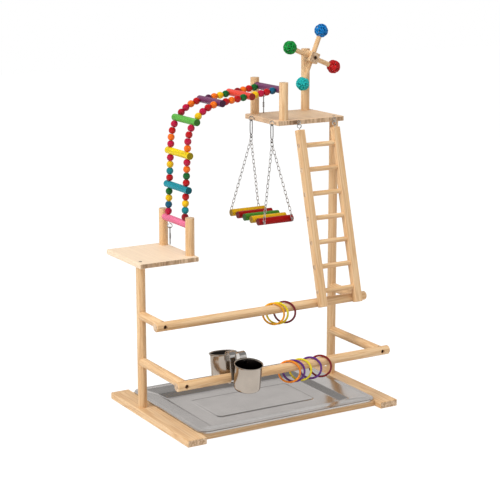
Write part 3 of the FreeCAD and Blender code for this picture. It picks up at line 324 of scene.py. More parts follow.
refinish("left_foot", pine("left_foot_pine", "y", 1.0))
refinish("right_foot", pine("right_foot_pine", "y", 2.0))
refinish("crossbars", pine("crossbar_pine", "x", 3.0))


# ---------------------------------------------------------------------------
# Posts, perches and arms: turned pine rod. The arms are screwed between the
# posts and the perches, each end in a flat seat, and the small posts of the
# bridge and the windmill are screwed to their platforms from below.
refinish("left_post", pine("left_post_pine", "z", 4.0))
refinish("right_post", pine("right_post_pine", "z", 5.0))
refinish("upper_perch", pine("upper_perch_pine", "x", 6.0))
refinish("lower_perch", pine("lower_perch_pine", "x", 7.0))
refinish("upper_perch_arms", pine("upper_arm_pine", "y", 8.0))
refinish("lower_perch_arms", pine("lower_arm_pine", "y", 9.0))
refinish("bridge_posts", pine("bridge_post_pine", "z", 10.0))
refinish("windmill_post", pine("windmill_post_pine", "z", 11.0))


# ---------------------------------------------------------------------------
# Platforms: boards glued from narrow pine staves that run front to back, so
# that the front edge shows a row of sawn ends with differing rings.
STAVE_WIDE = 0.021
LOWER_BOARD_TINT = (0.960, 0.800, 0.610, 0.72)
UPPER_BOARD_TINT = (0.820, 0.620, 0.450, 0.45)
refinish("lower_platform", pine("lower_platform_pine", "y", 12.0, stave=STAVE_WIDE,
                                tint=LOWER_BOARD_TINT))
refinish("upper_platform", pine("upper_platform_pine", "y", 13.0, stave=STAVE_WIDE,
                                tint=UPPER_BOARD_TINT))


# ---------------------------------------------------------------------------
# Screws: countersunk wood screws with a cross recess, blackened. On the
# perches and the posts the heads sit in a bored recess, elsewhere flush.
HEAD_RADIUS = 0.0038
HEAD_DEEP = 0.0024
SHANK_RADIUS = 0.0018
SHANK_LONG = 0.012
CROSS_ARM = 0.0021
CROSS_HALF = 0.00055
CROSS_DEEP = 0.0013
RECESS = 0.003                          # heads below the face of a rod
ROD_RADIUS = 0.009
POST_BACK = 0.052                       # from the middle of a foot to the posts


def middle(node):
    low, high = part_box(node)
    return (low + high) / 2


def new_piece(name, shape, material, body, stands_for=()):
    """A finished piece from a bmesh, riding on its body."""
    bmesh.ops.recalc_face_normals(shape, faces=shape.faces)
    mesh = bpy.data.meshes.new(name)
    shape.to_mesh(mesh)
    shape.free()
    for finish in material if isinstance(material, (list, tuple)) else [material]:
        mesh.materials.append(finish)
    smooth_shape(mesh)
    item = bpy.data.objects.new(name, mesh)
    scene.collection.objects.link(item)
    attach(item, body)
    if stands_for:
        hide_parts(*stands_for)
    return item


def turn(shape, profile, sides, place=None, closed=False, inside=()):
    """Turn a profile of (radius, height) points into the shape, about Z."""
    place = place or Matrix.Identity(4)
    rings = []
    for radius, height in profile:
        if radius < 1e-7:
            rings.append([shape.verts.new(place @ Vector((0, 0, height)))])
            continue
        angles = [2 * math.pi * side / sides for side in range(sides)]
        rings.append([shape.verts.new(place @ Vector((
            radius * math.cos(angle), radius * math.sin(angle), height))) for angle in angles])
    runs = len(rings) if closed else len(rings) - 1
    for index in range(runs):
        here, there = rings[index], rings[(index + 1) % len(rings)]
        for side in range(sides):
            after = (side + 1) % sides
            corners = [here[side % len(here)], here[after % len(here)],
                       there[after % len(there)], there[side % len(there)]]
            kept = [v for number, v in enumerate(corners) if v not in corners[:number]]
            face = shape.faces.new(kept)
            face.material_index = 1 if index in inside else 0
    return rings


def facing(place, way, spin=0.0):
    """A placing whose Z points along way."""
    turned = Vector(way).to_track_quat("Z", "Y").to_matrix().to_4x4()
    return Matrix.Translation(place) @ turned @ Matrix.Rotation(spin, 4, "Z")


def screw_head(shape, place):
    """A flat head with a cross recess; its top is at the place and faces +Z."""
    rings = turn(shape, [(HEAD_RADIUS * 0.93, 0.0), (HEAD_RADIUS, -0.0002),
                         (SHANK_RADIUS, -HEAD_DEEP), (SHANK_RADIUS, -SHANK_LONG),
                         (0.0, -SHANK_LONG - SHANK_RADIUS)], 24, place)
    cross = []
    for quarter in range(4):
        spin = Matrix.Rotation(quarter * math.pi / 2, 4, "Z")
        for x, y in ((CROSS_ARM, -CROSS_HALF), (CROSS_ARM, CROSS_HALF), (CROSS_HALF, CROSS_HALF)):
            cross.append(spin @ Vector((x, y, 0.0)))
    rim = [shape.verts.new(place @ corner) for corner in cross]
    floor = [shape.verts.new(place @ (corner * 0.6 - Vector((0, 0, CROSS_DEEP))))
             for corner in cross]
    count = len(cross)
    for index in range(count):
        after = (index + 1) % count
        shape.faces.new([rim[index], rim[after], floor[after], floor[index]])
    shape.faces.new(floor)
    top = rings[0]
    edges = [shape.edges.get((top[i], top[(i + 1) % len(top)])) for i in range(len(top))]
    edges += [shape.edges.get((rim[i], rim[(i + 1) % count])) for i in range(count)]
    bmesh.ops.bridge_loops(shape, edges=edges)


def blackened_steel():
    material, tree, shader = new_finish("blackened_steel", 0.42, metal=0.85)
    spot = add_node(tree, "TexNoise", {
        "Vector": add_node(tree, "TexCoord").outputs["Object"], "Scale": 900.0})
    tone = colour_steps(tree, spot.outputs[0], [
        (0.35, (0.070, 0.036, 0.020)), (0.70, (0.170, 0.100, 0.060))])
    tree.links.new(tone, shader.inputs["Base Color"])
    return material


SCREW_FINISH = blackened_steel()
TURNS = random.Random(4)


def screws(name, places):
    """A set of screws from (place, way that the head faces) pairs."""
    shape = bmesh.new()
    for place, way in places:
        screw_head(shape, facing(place, way, TURNS.uniform(0, math.pi / 2)))
    return new_piece(name, shape, SCREW_FINISH, "stand", ["frame_screws"])


post_xs = (middle("left_post").x, middle("right_post").x)
post_y = middle("left_foot").y + POST_BACK
perch_places = {name: middle(name) for name in ("upper_perch", "lower_perch")}
seat_screws = []
for perch in perch_places.values():
    for x in post_xs:
        seat_screws.append((Vector((x, perch.y - ROD_RADIUS + RECESS, perch.z)), (0, -1, 0)))
        seat_screws.append((Vector((x, post_y + ROD_RADIUS - RECESS, perch.z)), (0, 1, 0)))
screws("perch_and_post_screws", seat_screws)
board_screws = []
for board, x in (("lower_platform", post_xs[0]), ("upper_platform", post_xs[1])):
    board_screws.append((Vector((x, post_y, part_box(board)[1].z)), (0, 0, 1)))
bridge_y = middle("bridge_rung_4").y
post_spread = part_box("bridge_posts")[1].y - bridge_y
for board, rung in (("lower_platform", "bridge_rung_1"), ("upper_platform", "bridge_rung_7")):
    rung_place = middle(rung)
    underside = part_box(board)[0].z
    for side in (-1, 1):
        post_middle = bridge_y + side * (post_spread - ROD_RADIUS)
        board_screws.append((Vector((rung_place.x, post_middle, underside)), (0, 0, -1)))
mill_post = middle("windmill_post")
board_screws.append((Vector((
    mill_post.x, mill_post.y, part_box("upper_platform")[0].z)), (0, 0, -1)))
for x in post_xs:
    board_screws.append((Vector((x, post_y, 0.0)), (0, 0, -1)))
screws("board_and_foot_screws", board_screws)


# ---------------------------------------------------------------------------
# Tray: one pressed sheet of stainless steel with a rolled lip, a shallow
# slope, a steeper wall and a raised panel in its floor. It lies on the feet
# and lifts out for cleaning.
TRAY_CORNER = 0.022
TRAY_SHEET = 0.0007
TRAY_LIP_HIGH = 0.004
STEEL_GREY = (0.560, 0.525, 0.500)
TRAY_BEND = 0.0012                      # length that each bend of the wall takes up
# The rolled lip, then the bends of the wall: in from the outer edge, height above the lip's foot.
TRAY_LIP = [(0.0000, 0.0000), (0.0000, 0.0026), (0.0004, 0.0035), (0.0012, 0.0040),
            (0.0024, 0.0040), (0.0034, 0.0037), (0.0044, 0.0035)]
TRAY_WALL = [(0.0060, 0.0035), (0.0120, 0.0035), (0.0400, -0.0016), (0.0530, -0.0090),
             (0.0560, -0.0090)]
PANEL_HALF = Vector((0.111, 0.058))
PANEL_CORNER = 0.010
PANEL_EDGE = [(-0.0060, -0.0090), (-0.0024, -0.0090), (0.0024, -0.0076), (0.0060, -0.0076)]


def round_loop(shape, centre, half, corner, height, steps=8):
    """A ring of points on a rectangle with round corners."""
    ring = []
    for quarter in range(4):
        way_x = (1, -1, -1, 1)[quarter]
        way_y = (1, 1, -1, -1)[quarter]
        for step in range(steps + 1):
            angle = math.pi / 2 * (quarter + step / steps)
            ring.append(shape.verts.new((
                centre.x + way_x * (half.x - corner) + corner * math.cos(angle),
                centre.y + way_y * (half.y - corner) + corner * math.sin(angle),
                height)))
    return ring


def bent(bends):
    """The section with each bend rounded, and a flat strip kept beside it."""
    section = [Vector(bends[0])]
    for before, corner, after in zip(bends, bends[1:], bends[2:]):
        corner = Vector(corner)
        back = (Vector(before) - corner).normalized() * TRAY_BEND
        on = (Vector(after) - corner).normalized() * TRAY_BEND
        middle_of_bend = corner + (back + on) * 0.25
        section += [corner + back * 1.5, corner + back, middle_of_bend, corner + on,
                    corner + on * 1.5]
    return section + [Vector(bends[-1])]


def join_loops(shape, outer, inner):
    for index in range(len(outer)):
        after = (index + 1) % len(outer)
        shape.faces.new([outer[index], outer[after], inner[after], inner[index]])


def mottled(name, shades, scale, detail, depth, **finish):
    """A finish that goes softly through the shades, from its hollows to its high places."""
    material, tree, shader = new_finish(name, **finish)
    place = add_node(tree, "TexCoord").outputs["Object"]
    cloud = add_node(tree, "TexNoise", {
        "Vector": place, "Scale": scale, "Detail": detail}).outputs[0]
    tree.links.new(colour_steps(tree, cloud, shades), shader.inputs["Base Color"])
    soft_bump(tree, shader, cloud, depth)
    return material


def darker(colour, share):
    return tuple(part * share for part in colour)


def satin_steel(name, colour, roughness, grain="x", wear=0.35):
    """Rolled stainless steel: faint brushing along the grain and soft cloudy wear."""
    material, tree, shader = new_finish(name, roughness, metal=1.0)
    place = add_node(tree, "TexCoord").outputs["Object"]
    brushed = add_node(tree, "TexNoise", {
        "Vector": stretched(tree, place, grain, 0.0006, 0.060, 3.0), "Scale": 1.0,
        "Detail": 3.0}).outputs[0]
    cloud = add_node(tree, "TexNoise", {"Vector": place, "Scale": 22.0, "Detail": 3.0}).outputs[0]
    tone = colour_steps(tree, cloud, [(0.35, darker(colour, 1 - 0.22 * wear)), (0.65, colour)])
    streak = colour_steps(tree, brushed, [(0.3, (0.93, 0.93, 0.93)), (0.7, (1.0, 1.0, 1.0))])
    tree.links.new(blend_colour(tree, 1.0, tone, streak, "MULTIPLY"), shader.inputs["Base Color"])
    rough = sum_up(tree, "MULTIPLY", brushed, 0.16)
    rough = sum_up(tree, "ADD", rough, roughness - 0.08)
    tree.links.new(rough, shader.inputs["Roughness"])
    soft_bump(tree, shader, brushed, 0.00002)
    return material


def tray():
    low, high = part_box("tray")
    centre = (low + high) / 2
    half = Vector(((high.x - low.x) / 2, (high.y - low.y) / 2))
    foot = high.z - TRAY_LIP_HIGH
    shape = bmesh.new()
    loops = []
    for inset, rise in TRAY_LIP + bent(TRAY_WALL):
        inner = Vector((half.x - inset, half.y - inset))
        corner = max(TRAY_CORNER - inset * 0.45, 0.006)
        loops.append(round_loop(shape, centre, inner, corner, foot + rise))
    for inset, rise in bent(PANEL_EDGE):
        inner = Vector((PANEL_HALF.x - inset, PANEL_HALF.y - inset))
        loops.append(round_loop(shape, centre, inner, PANEL_CORNER - inset * 0.6, foot + rise))
    for outer, inner in zip(loops, loops[1:]):
        join_loops(shape, outer, inner)
    shape.faces.new(loops[-1])
    item = new_piece("pressed_tray", shape, satin_steel("tray_steel", STEEL_GREY, 0.20),
                     "tray", ["tray"])
    sheet = item.modifiers.new("sheet", "SOLIDIFY")
    sheet.thickness = TRAY_SHEET
    sheet.offset = -1.0
    return item


tray()


# ---------------------------------------------------------------------------
# Cups: drawn stainless steel mugs with a rounded bottom, a rolled rim and a
# riveted strap that hooks over the lower perch and wraps under it.
CUP_RADIUS = 0.0255
CUP_RIM = 0.02775
CUP_HIGH = 0.052
CUP_WALL = 0.001
CUP_AWAY = 0.0388                       # from the middle of the perch
CUP_RISE = 0.043                        # of the rim, above the middle of the perch
CUP_LEAN = math.radians(8)
CUP_STEEL = (0.455, 0.395, 0.335)
# Painted shade: the inside of each cup is near black, standing in for the shade deep inside it.
CUP_PAINTED_SHADE = (0.022, 0.018, 0.016)
CUP_OUTSIDE = [
    (0.0, 0.0006), (0.0150, 0.0006), (0.0185, 0.0), (0.0212, 0.0003), (0.0232, 0.0012),
    (0.0246, 0.0027), (0.0253, 0.0046), (CUP_RADIUS, 0.0066), (CUP_RADIUS, 0.0200),
    (CUP_RADIUS, 0.0380), (CUP_RADIUS, 0.0478), (0.0259, 0.0492), (0.0267, 0.0501),
    (0.0274, 0.0504), (CUP_RIM - 0.0001, 0.0510), (CUP_RIM - 0.0003, 0.0517), (0.0268, CUP_HIGH),
    (0.0261, 0.0516),
]
CUP_INSIDE = [
    (0.0253, 0.0502), (CUP_RADIUS - CUP_WALL, 0.0488), (CUP_RADIUS - CUP_WALL, 0.0070),
    (0.0240, 0.0046), (0.0228, 0.0028), (0.0205, 0.0016), (0.0, 0.0014),
]


def cup(name, turned_about):
    """A cup on the -Y side of the perch, turned about the perch by half a turn or none."""
    base = Vector((middle(name).x, perch_places["lower_perch"].y, perch_places["lower_perch"].z))
    place = (Matrix.Translation(base) @ Matrix.Rotation(turned_about, 4, "Z")
             @ Matrix.Rotation(CUP_LEAN, 4, "X")
             @ Matrix.Translation((0.0, -CUP_AWAY, CUP_RISE - CUP_HIGH)))
    shape = bmesh.new()
    profile = CUP_OUTSIDE + CUP_INSIDE
    first_inside = len(CUP_OUTSIDE)
    turn(shape, profile, 64, place, inside=range(first_inside, len(profile)))
    outside = satin_steel(f"{name}_steel", CUP_STEEL, 0.17, "z", 0.6)
    # The inside faces take this near-black steel, which is painted shade.
    painted_shade_inside = satin_steel(f"{name}_steel_within", CUP_PAINTED_SHADE, 0.30, "z", 0.6)
    return new_piece(f"drawn_{name}", shape, [outside, painted_shade_inside], name, [name])


cup("front_cup", 0.0)
cup("rear_cup", math.pi)
STRAP_STEEL = satin_steel("strap_steel", (0.640, 0.610, 0.580), 0.16, "x", 0.4)
refinish("front_cup_strap", STRAP_STEEL)
refinish("rear_cup_strap", STRAP_STEEL)


# ---------------------------------------------------------------------------
# Rings: moulded gloss plastic hoops threaded on the two perches, each with
# the faint seam of its mould round the outside.
RING_RADIUS = 0.02125
RING_WIRE = 0.002
RING_TURN = math.radians(50)
RING_COLOURS = {
    "orange": (0.900, 0.270, 0.020), "amber": (0.930, 0.420, 0.020),
    "yellow": (0.900, 0.720, 0.030), "purple": (0.130, 0.025, 0.240),
    "red": (0.190, 0.008, 0.020), "dark_red": (0.230, 0.012, 0.014),
}
RINGS = {
    "upper_ring_1": ("amber", "orange_ring"), "upper_ring_2": ("yellow", "yellow_ring"),
    "upper_ring_3": ("red", "red_ring"), "lower_ring_1": ("orange", "orange_ring"),
    "lower_ring_2": ("purple", "purple_ring"), "lower_ring_3": ("yellow", "yellow_ring"),
    "lower_ring_4": ("purple", "purple_ring"), "lower_ring_5": ("dark_red", "red_ring"),
}


def moulded_plastic(name, colour):
    """Bright plastic with a slight waviness from the mould."""
    material = mottled(name, [(0.35, darker(colour, 0.86)), (0.65, colour)], 90.0, 2.0, 0.00006,
                       roughness=0.25, coat=0.2, sheen=0.2)
    shader = material.node_tree.nodes["Principled BSDF"]
    shader.inputs["Subsurface Weight"].default_value = 0.08
    shader.inputs["Subsurface Radius"].default_value = (0.002, 0.001, 0.0008)
    return material


def hoop(name, colour):
    """A round section with a small raised seam on its outer side."""
    seam = math.radians(7)
    angles = [seam, -seam] + [-seam - (2 * math.pi - 2 * seam) * part / 17 for part in range(1, 17)]
    profile = [(RING_RADIUS + RING_WIRE * math.cos(a), RING_WIRE * math.sin(a)) for a in angles]
    profile.insert(1, (RING_RADIUS + RING_WIRE * 1.05, 0.0))
    way = Vector((math.cos(RING_TURN), math.sin(RING_TURN), 0.0))
    shape = bmesh.new()
    turn(shape, profile, 96, facing(middle(name), way), closed=True)
    new_piece(f"{name}_hoop", shape, moulded_plastic(f"{name}_plastic", RING_COLOURS[colour]),
              name, [name])


for name, (colour, slot) in RINGS.items():
    hoop(name, colour)


# ---------------------------------------------------------------------------
# Bead bridge rungs: lengths of dyed dowel between two wires. The dye soaks
# deeper into the sawn ends, which are darker. The end rungs are let into
# the small posts of the platforms.
RUNG_COLOURS = [
    ("bridge_rung_1", (0.950, 0.210, 0.370)), ("bridge_rung_2", (0.003, 0.310, 0.390)),
    ("bridge_rung_3", (0.970, 0.720, 0.004)), ("bridge_rung_4", (0.120, 0.480, 0.060)),
    ("bridge_rung_5", (0.190, 0.045, 0.130)), ("bridge_rung_6", (0.900, 0.075, 0.045)),
    ("bridge_rung_7", (0.190, 0.055, 0.140)),
]


def dyed_wood(name, colour, grain, seed):
    """Water-dyed dowel: grain shows through, sawn ends are darker."""
    material, tree, shader = new_finish(name, 0.42, coat=0.05, sheen=0.15)
    coordinates = add_node(tree, "TexCoord")
    place = coordinates.outputs["Object"]
    figure = add_node(tree, "TexNoise", {
        "Vector": stretched(tree, place, grain, 0.004, 0.060, seed), "Scale": 1.0,
        "Detail": 3.0}).outputs[0]
    fibre = add_node(tree, "TexNoise", {
        "Vector": stretched(tree, place, grain, 0.0005, 0.012, seed), "Scale": 1.0,
        "Detail": 2.0}).outputs[0]
    tone = colour_steps(tree, figure, [(0.32, darker(colour, 0.70)), (0.68, colour)])
    speck = colour_steps(tree, fibre, [(0.30, (0.80, 0.80, 0.80)), (0.60, (1.0, 1.0, 1.0))])
    side = blend_colour(tree, 0.8, tone, speck, "MULTIPLY")
    sawn = (*darker(colour, 0.30), 1.0)
    whole = blend_colour(tree, end_face(tree, coordinates, grain, 0.0), side, sawn)
    tree.links.new(whole, shader.inputs["Base Color"])
    soft_bump(tree, shader, fibre, 0.00012)
    return material


for index, (node, colour) in enumerate(RUNG_COLOURS):
    refinish(node, dyed_wood(f"{node}_dye", colour, "y", 20.0 + index))


# ---------------------------------------------------------------------------
# Beads: turned hardwood beads in gloss lacquer, threaded four to a gap on
# each of the two wires. The wires climb from the lower platform, bend over
# and reach the upper one almost level, and end inside the end rungs.
BRIDGE_RISE = math.radians(87)
BRIDGE_REACH = math.radians(8)
BRIDGE_BEND = 0.080
WIRE_SPREAD = 0.070
RUNG_DIA = 0.014
BEAD_RADIUS = 0.0072
BEAD_BORE = 0.0013
BEAD_COLOURS = {
    "magenta": ((0.540, 0.003, 0.048), "magenta_bead"), "blue": ((0.003, 0.105, 0.200), "blue_bead"),
    "yellow": ((0.930, 0.560, 0.003), "yellow_bead"), "green": ((0.003, 0.130, 0.022), "green_bead"),
    "dark_red": ((0.280, 0.003, 0.010), "red_bead"), "teal": ((0.003, 0.240, 0.280), "blue_bead"),
    "red": ((0.520, 0.003, 0.005), "red_bead"), "orange": ((0.950, 0.170, 0.003), "orange_bead"),
    "crimson": ((0.420, 0.003, 0.020), "red_bead"), "purple": ((0.080, 0.012, 0.055), "blue_bead"),
}
# From the lower end of the bridge, gap by gap: beads on the rear and on the front wire.
BEAD_ORDER = [
    (("magenta", "blue", "yellow", "green"), ("dark_red", "teal", "yellow", "red")),
    (("red", "teal", "yellow", "magenta"), ("red", "green", "orange", "magenta")),
    (("magenta", "orange", "red", "magenta"), ("orange", "magenta", "red", "magenta")),
    (("crimson", "magenta", "orange", "red"), ("yellow", "magenta", "red", "orange")),
    (("purple", "orange", "yellow", "green"), ("red", "orange", "red", "green")),
    (("dark_red", "orange", "red", "green"), ("yellow", "magenta", "red", "blue")),
]
BEAD_NODES = {"dark_red": "red", "crimson": "red", "teal": "blue", "purple": "blue"}

low_end, high_end = middle("bridge_rung_1"), middle("bridge_rung_7")
up_way = Vector((math.cos(BRIDGE_RISE), 0.0, math.sin(BRIDGE_RISE)))
over_way = Vector((math.cos(BRIDGE_REACH), 0.0, math.sin(BRIDGE_REACH)))
gap_way = high_end - low_end
cross_turn = up_way.x * over_way.z - up_way.z * over_way.x
tangent = BRIDGE_BEND * math.tan((BRIDGE_RISE - BRIDGE_REACH) / 2)
climb = (gap_way.x * over_way.z - gap_way.z * over_way.x) / cross_turn - tangent
run_out = (up_way.x * gap_way.z - up_way.z * gap_way.x) / cross_turn - tangent
bend_centre = (low_end + up_way * climb
               + Vector((math.sin(BRIDGE_RISE), 0.0, -math.cos(BRIDGE_RISE))) * BRIDGE_BEND)
bridge_length = climb + BRIDGE_BEND * (BRIDGE_RISE - BRIDGE_REACH) + run_out
rung_pitch = bridge_length / 6


def along_bridge(distance):
    """The middle of the bridge at that distance from its lower end, and its heading."""
    if distance < climb:
        return low_end + up_way * distance, BRIDGE_RISE
    heading = BRIDGE_RISE - (distance - climb) / BRIDGE_BEND
    if heading > BRIDGE_REACH:
        return (bend_centre + Vector((-math.sin(heading), 0.0, math.cos(heading))) * BRIDGE_BEND,
                heading)
    return high_end - over_way * (bridge_length - distance), BRIDGE_REACH


def lacquer(name, colour):
    """Thick gloss lacquer over turned wood, a little uneven in depth."""
    return mottled(name, [(0.32, darker(colour, 0.74)), (0.66, colour)], 160.0, 3.0, 0.00008,
                   roughness=0.30, coat=0.4, sheen=0.1)


def bead_profile():
    """A ball with a flat lip round each end of its bore."""
    half_long = 0.0063
    arc = []
    for step in range(9):
        angle = math.radians(-62 + 124 * step / 8)
        arc.append((BEAD_RADIUS * math.cos(angle) ** 0.92, BEAD_RADIUS * math.sin(angle)))
    return ([(BEAD_BORE, -half_long + 0.0004), (BEAD_BORE + 0.0004, -half_long)] + arc
            + [(BEAD_BORE + 0.0004, half_long), (BEAD_BORE, half_long - 0.0004)])


bead_shapes = {colour: bmesh.new() for colour in BEAD_COLOURS}
bead_gap = rung_pitch - RUNG_DIA
for gap, (rear, front) in enumerate(BEAD_ORDER):
    for colours, offset in ((rear, WIRE_SPREAD / 2), (front, -WIRE_SPREAD / 2)):
        for index, colour in enumerate(colours):
            distance = gap * rung_pitch + RUNG_DIA / 2 + (index + 0.5) * bead_gap / len(colours)
            point, heading = along_bridge(distance)
            way = (math.cos(heading), 0.0, math.sin(heading))
            place = facing(point + Vector((0.0, offset, 0.0)), way)
            turn(bead_shapes[colour], bead_profile(), 28, place, closed=True)
for colour, shape in bead_shapes.items():
    paint, slot = BEAD_COLOURS[colour]
    new_piece(f"{colour}_lacquer_beads", shape, lacquer(f"{colour}_lacquer", paint), "stand",
              [f"{BEAD_NODES.get(colour, colour)}_beads"])


def plated_wire(name, colour, roughness):
    """Bright zinc or nickel on bent wire, with a little tarnish."""
    return mottled(name, [(0.34, darker(colour, 0.62)), (0.62, colour)], 240.0, 3.0, 0.00003,
                   roughness=roughness, metal=1.0)


refinish("bridge_wires", plated_wire("bridge_wire_zinc", (0.50, 0.50, 0.50), 0.32))


# ---------------------------------------------------------------------------
# Screw eyes: bent plated wire with a closed eye, screwed into the edge of
# the upper platform for the swing and the ladder, into the tops of the
# ladder's rails, and under the end rungs for the two snap clips.
EYE_RADIUS = 0.0045
EYE_WIRE = 0.001
EYE_REACH = 0.008
EYE_SHANK = 0.012
SWING_BACK = (0.0525, 0.1335)           # from the middle of a foot to the swing's two eyes
CLIP_BACK = {"lower": 0.135, "upper": 0.128}
LADDER_HALF = 0.042
CLIP_TURN = math.radians(30)            # of the clips' eyes, from the X axis
WIRE_PLAY = 0.00025
PIVOT_GAP = 2 * EYE_WIRE + WIRE_PLAY    # from the bottom of an eye to what hangs in it
EYE_FINISH = plated_wire("eye_nickel", (0.60, 0.59, 0.57), 0.20)
SPRING_FINISH = plated_wire("spring_steel", (0.28, 0.27, 0.26), 0.22)


def add_wire(shape, points, radius, closed=False, fine=4):
    """A round wire through the points, bent smoothly, added to the shape."""
    data = bpy.data.curves.new("wire_line", "CURVE")
    data.dimensions = "3D"
    data.bevel_depth = radius
    data.bevel_resolution = 3
    data.resolution_u = fine
    data.use_fill_caps = not closed
    line = data.splines.new("BEZIER")
    line.bezier_points.add(len(points) - 1)
    for corner, point in zip(line.bezier_points, points):
        corner.co = point
        corner.handle_left_type = corner.handle_right_type = "AUTO"
    line.use_cyclic_u = closed
    item = bpy.data.objects.new("wire_line", data)
    mesh = bpy.data.meshes.new_from_object(item)
    shape.from_mesh(mesh)
    bpy.data.objects.remove(item)
    bpy.data.curves.remove(data)
    bpy.data.meshes.remove(mesh)


def bow(centre, radius, first, last, steps, across, up):
    """Points on an arc from first to last degrees; 0 is along across, 90 along up."""
    points = []
    for step in range(steps + 1):
        angle = math.radians(first + (last - first) * step / steps)
        points.append(centre + across * (radius * math.cos(angle))
                      + up * (radius * math.sin(angle)))
    return points


def screw_eye(shape, foot, out, side):
    """An eye whose shank goes into the wood at foot, its ring in the plane out-side."""
    ring = bow(foot + out * EYE_REACH, EYE_RADIUS, -148, 172, 12, out, side)
    neck = foot + out * (EYE_REACH - EYE_RADIUS - 0.0016)
    add_wire(shape, [foot - out * EYE_SHANK, foot, neck] + ring[::-1], EYE_WIRE)


platform_low, platform_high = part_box("upper_platform")
eye_height = (platform_low.z + platform_high.z) / 2
base_y = middle("left_foot").y
swing_ys = [base_y + back for back in SWING_BACK]
ladder_centre = middle("ladder_rungs").x
ladder_xs = (ladder_centre - LADDER_HALF, ladder_centre + LADDER_HALF)
eye_shape = bmesh.new()
for y in swing_ys:
    screw_eye(eye_shape, Vector((platform_low.x, y, eye_height)), -AXES["x"], AXES["z"])
for x in ladder_xs:
    screw_eye(eye_shape, Vector((x, platform_low.y, eye_height)), -AXES["y"], AXES["z"])
clip_tops = {}
clip_axis = Vector((math.cos(CLIP_TURN), -math.sin(CLIP_TURN), 0.0))
clip_across = Vector((math.sin(CLIP_TURN), math.cos(CLIP_TURN), 0.0))
for end, rung in (("lower", "bridge_rung_1"), ("upper", "bridge_rung_7")):
    foot = middle(rung)
    foot.y = base_y + CLIP_BACK[end]
    foot.z -= RUNG_DIA / 2
    clip_tops[end] = foot - AXES["z"] * (EYE_REACH + EYE_RADIUS - PIVOT_GAP)
    screw_eye(eye_shape, foot, -AXES["z"], clip_axis)
new_piece("bent_screw_eyes", eye_shape, EYE_FINISH, "stand", ["screw_eyes"])


# ---------------------------------------------------------------------------
# Snap clips: a long loop of spring wire with a ribbed slide on one leg, one
# under each end rung of the bridge, for hanging a toy or some food.
CLIP_LONG = 0.036
CLIP_WIDE = 0.010
CLIP_WIRE = 0.001
SLIDE_RADIUS = 0.00195
SLIDE_LONG = CLIP_LONG * 0.3
SLIDE_RIBS = 9


def long_loop(top, length, wide, across, steps=5):
    """The middle line of a long closed loop that hangs from its top."""
    radius = wide / 2
    down = -AXES["z"]
    upper = bow(top + down * radius, radius, 180, 0, steps, across, AXES["z"])
    lower = bow(top + down * (length - radius), radius, 0, -180, steps, across, AXES["z"])
    return upper + lower


for end, top in clip_tops.items():
    clip_shape = bmesh.new()
    add_wire(clip_shape, long_loop(top, CLIP_LONG, CLIP_WIDE, clip_across), CLIP_WIRE, closed=True)
    slide_foot = top + clip_across * (CLIP_WIDE / 2) - AXES["z"] * (CLIP_LONG * 0.7)
    ribs = [(CLIP_WIRE * 0.9, 0.0)]
    for rib in range(SLIDE_RIBS):
        ribs.append((SLIDE_RADIUS if rib % 2 else SLIDE_RADIUS * 0.82,
                     SLIDE_LONG * rib / (SLIDE_RIBS - 1)))
    ribs.append((CLIP_WIRE * 0.9, SLIDE_LONG))
    turn(clip_shape, ribs, 20, Matrix.Translation(slide_foot), closed=True)
    new_piece(f"{end}_snap_clip", clip_shape, SPRING_FINISH, f"{end}_clip",
              [f"{end}_clip"])


# ---------------------------------------------------------------------------
# Swing: five dyed dowels on two tie wires, held at the corners by four
# chains of welded links that meet at two long hooks on the platform's eyes.
HOOK_LONG = 0.030
HOOK_WIDE = 0.008
HOOK_RING = 0.0035
HOOK_WIRE = 0.001
SEAT_HEIGHT = 0.360
TIE_HALF = 0.033
TIE_REACH = 0.06605                     # middle of the seat to the middle of a tie's eye
TIE_EYE = 0.0032
TIE_WIRE = 0.001
LINK_WIRE = 0.00065
LINK_WIDE = 0.006
CHAIN_LINKS = 19
SWING_FINISH = plated_wire("chain_zinc", (0.58, 0.57, 0.56), 0.24)
SWING_DYES = {"red": (0.440, 0.003, 0.003), "yellow": (0.920, 0.540, 0.008),
              "green": (0.070, 0.280, 0.022)}

swing_x = platform_low.x - EYE_REACH
pivot_z = eye_height - EYE_RADIUS + PIVOT_GAP
hook_shape = bmesh.new()
hook_ends = []
for y in swing_ys:
    top = Vector((swing_x, y, pivot_z))
    add_wire(hook_shape, long_loop(top, HOOK_LONG, HOOK_WIDE, AXES["y"]), HOOK_WIRE, closed=True)
    centre = top - AXES["z"] * (HOOK_LONG + HOOK_RING)
    ring = bow(centre, HOOK_RING, 0, 330, 11, AXES["y"], AXES["z"])
    add_wire(hook_shape, ring, HOOK_WIRE, closed=True, fine=2)
    hook_ends.append(centre - AXES["z"] * HOOK_RING)
new_piece("bent_swing_hooks", hook_shape, SPRING_FINISH, "swing", ["swing_hooks"])

seat_y = middle("swing_green_dowels").y
tie_shape = bmesh.new()
tie_eyes = {}
for side in (-1, 1):
    x = swing_x + side * TIE_HALF
    front = Vector((x, seat_y - TIE_REACH, SEAT_HEIGHT))
    rear = Vector((x, seat_y + TIE_REACH, SEAT_HEIGHT))
    line = bow(front, TIE_EYE, 30, 350, 10, AXES["y"], AXES["z"])
    line += bow(rear, TIE_EYE, 190, 510, 10, AXES["y"], AXES["z"])
    add_wire(tie_shape, line, TIE_WIRE, fine=3)
    tie_eyes[side, 0] = front + AXES["z"] * TIE_EYE
    tie_eyes[side, 1] = rear + AXES["z"] * TIE_EYE
new_piece("bent_tie_wires", tie_shape, SWING_FINISH, "swing", ["swing_tie_wires"])


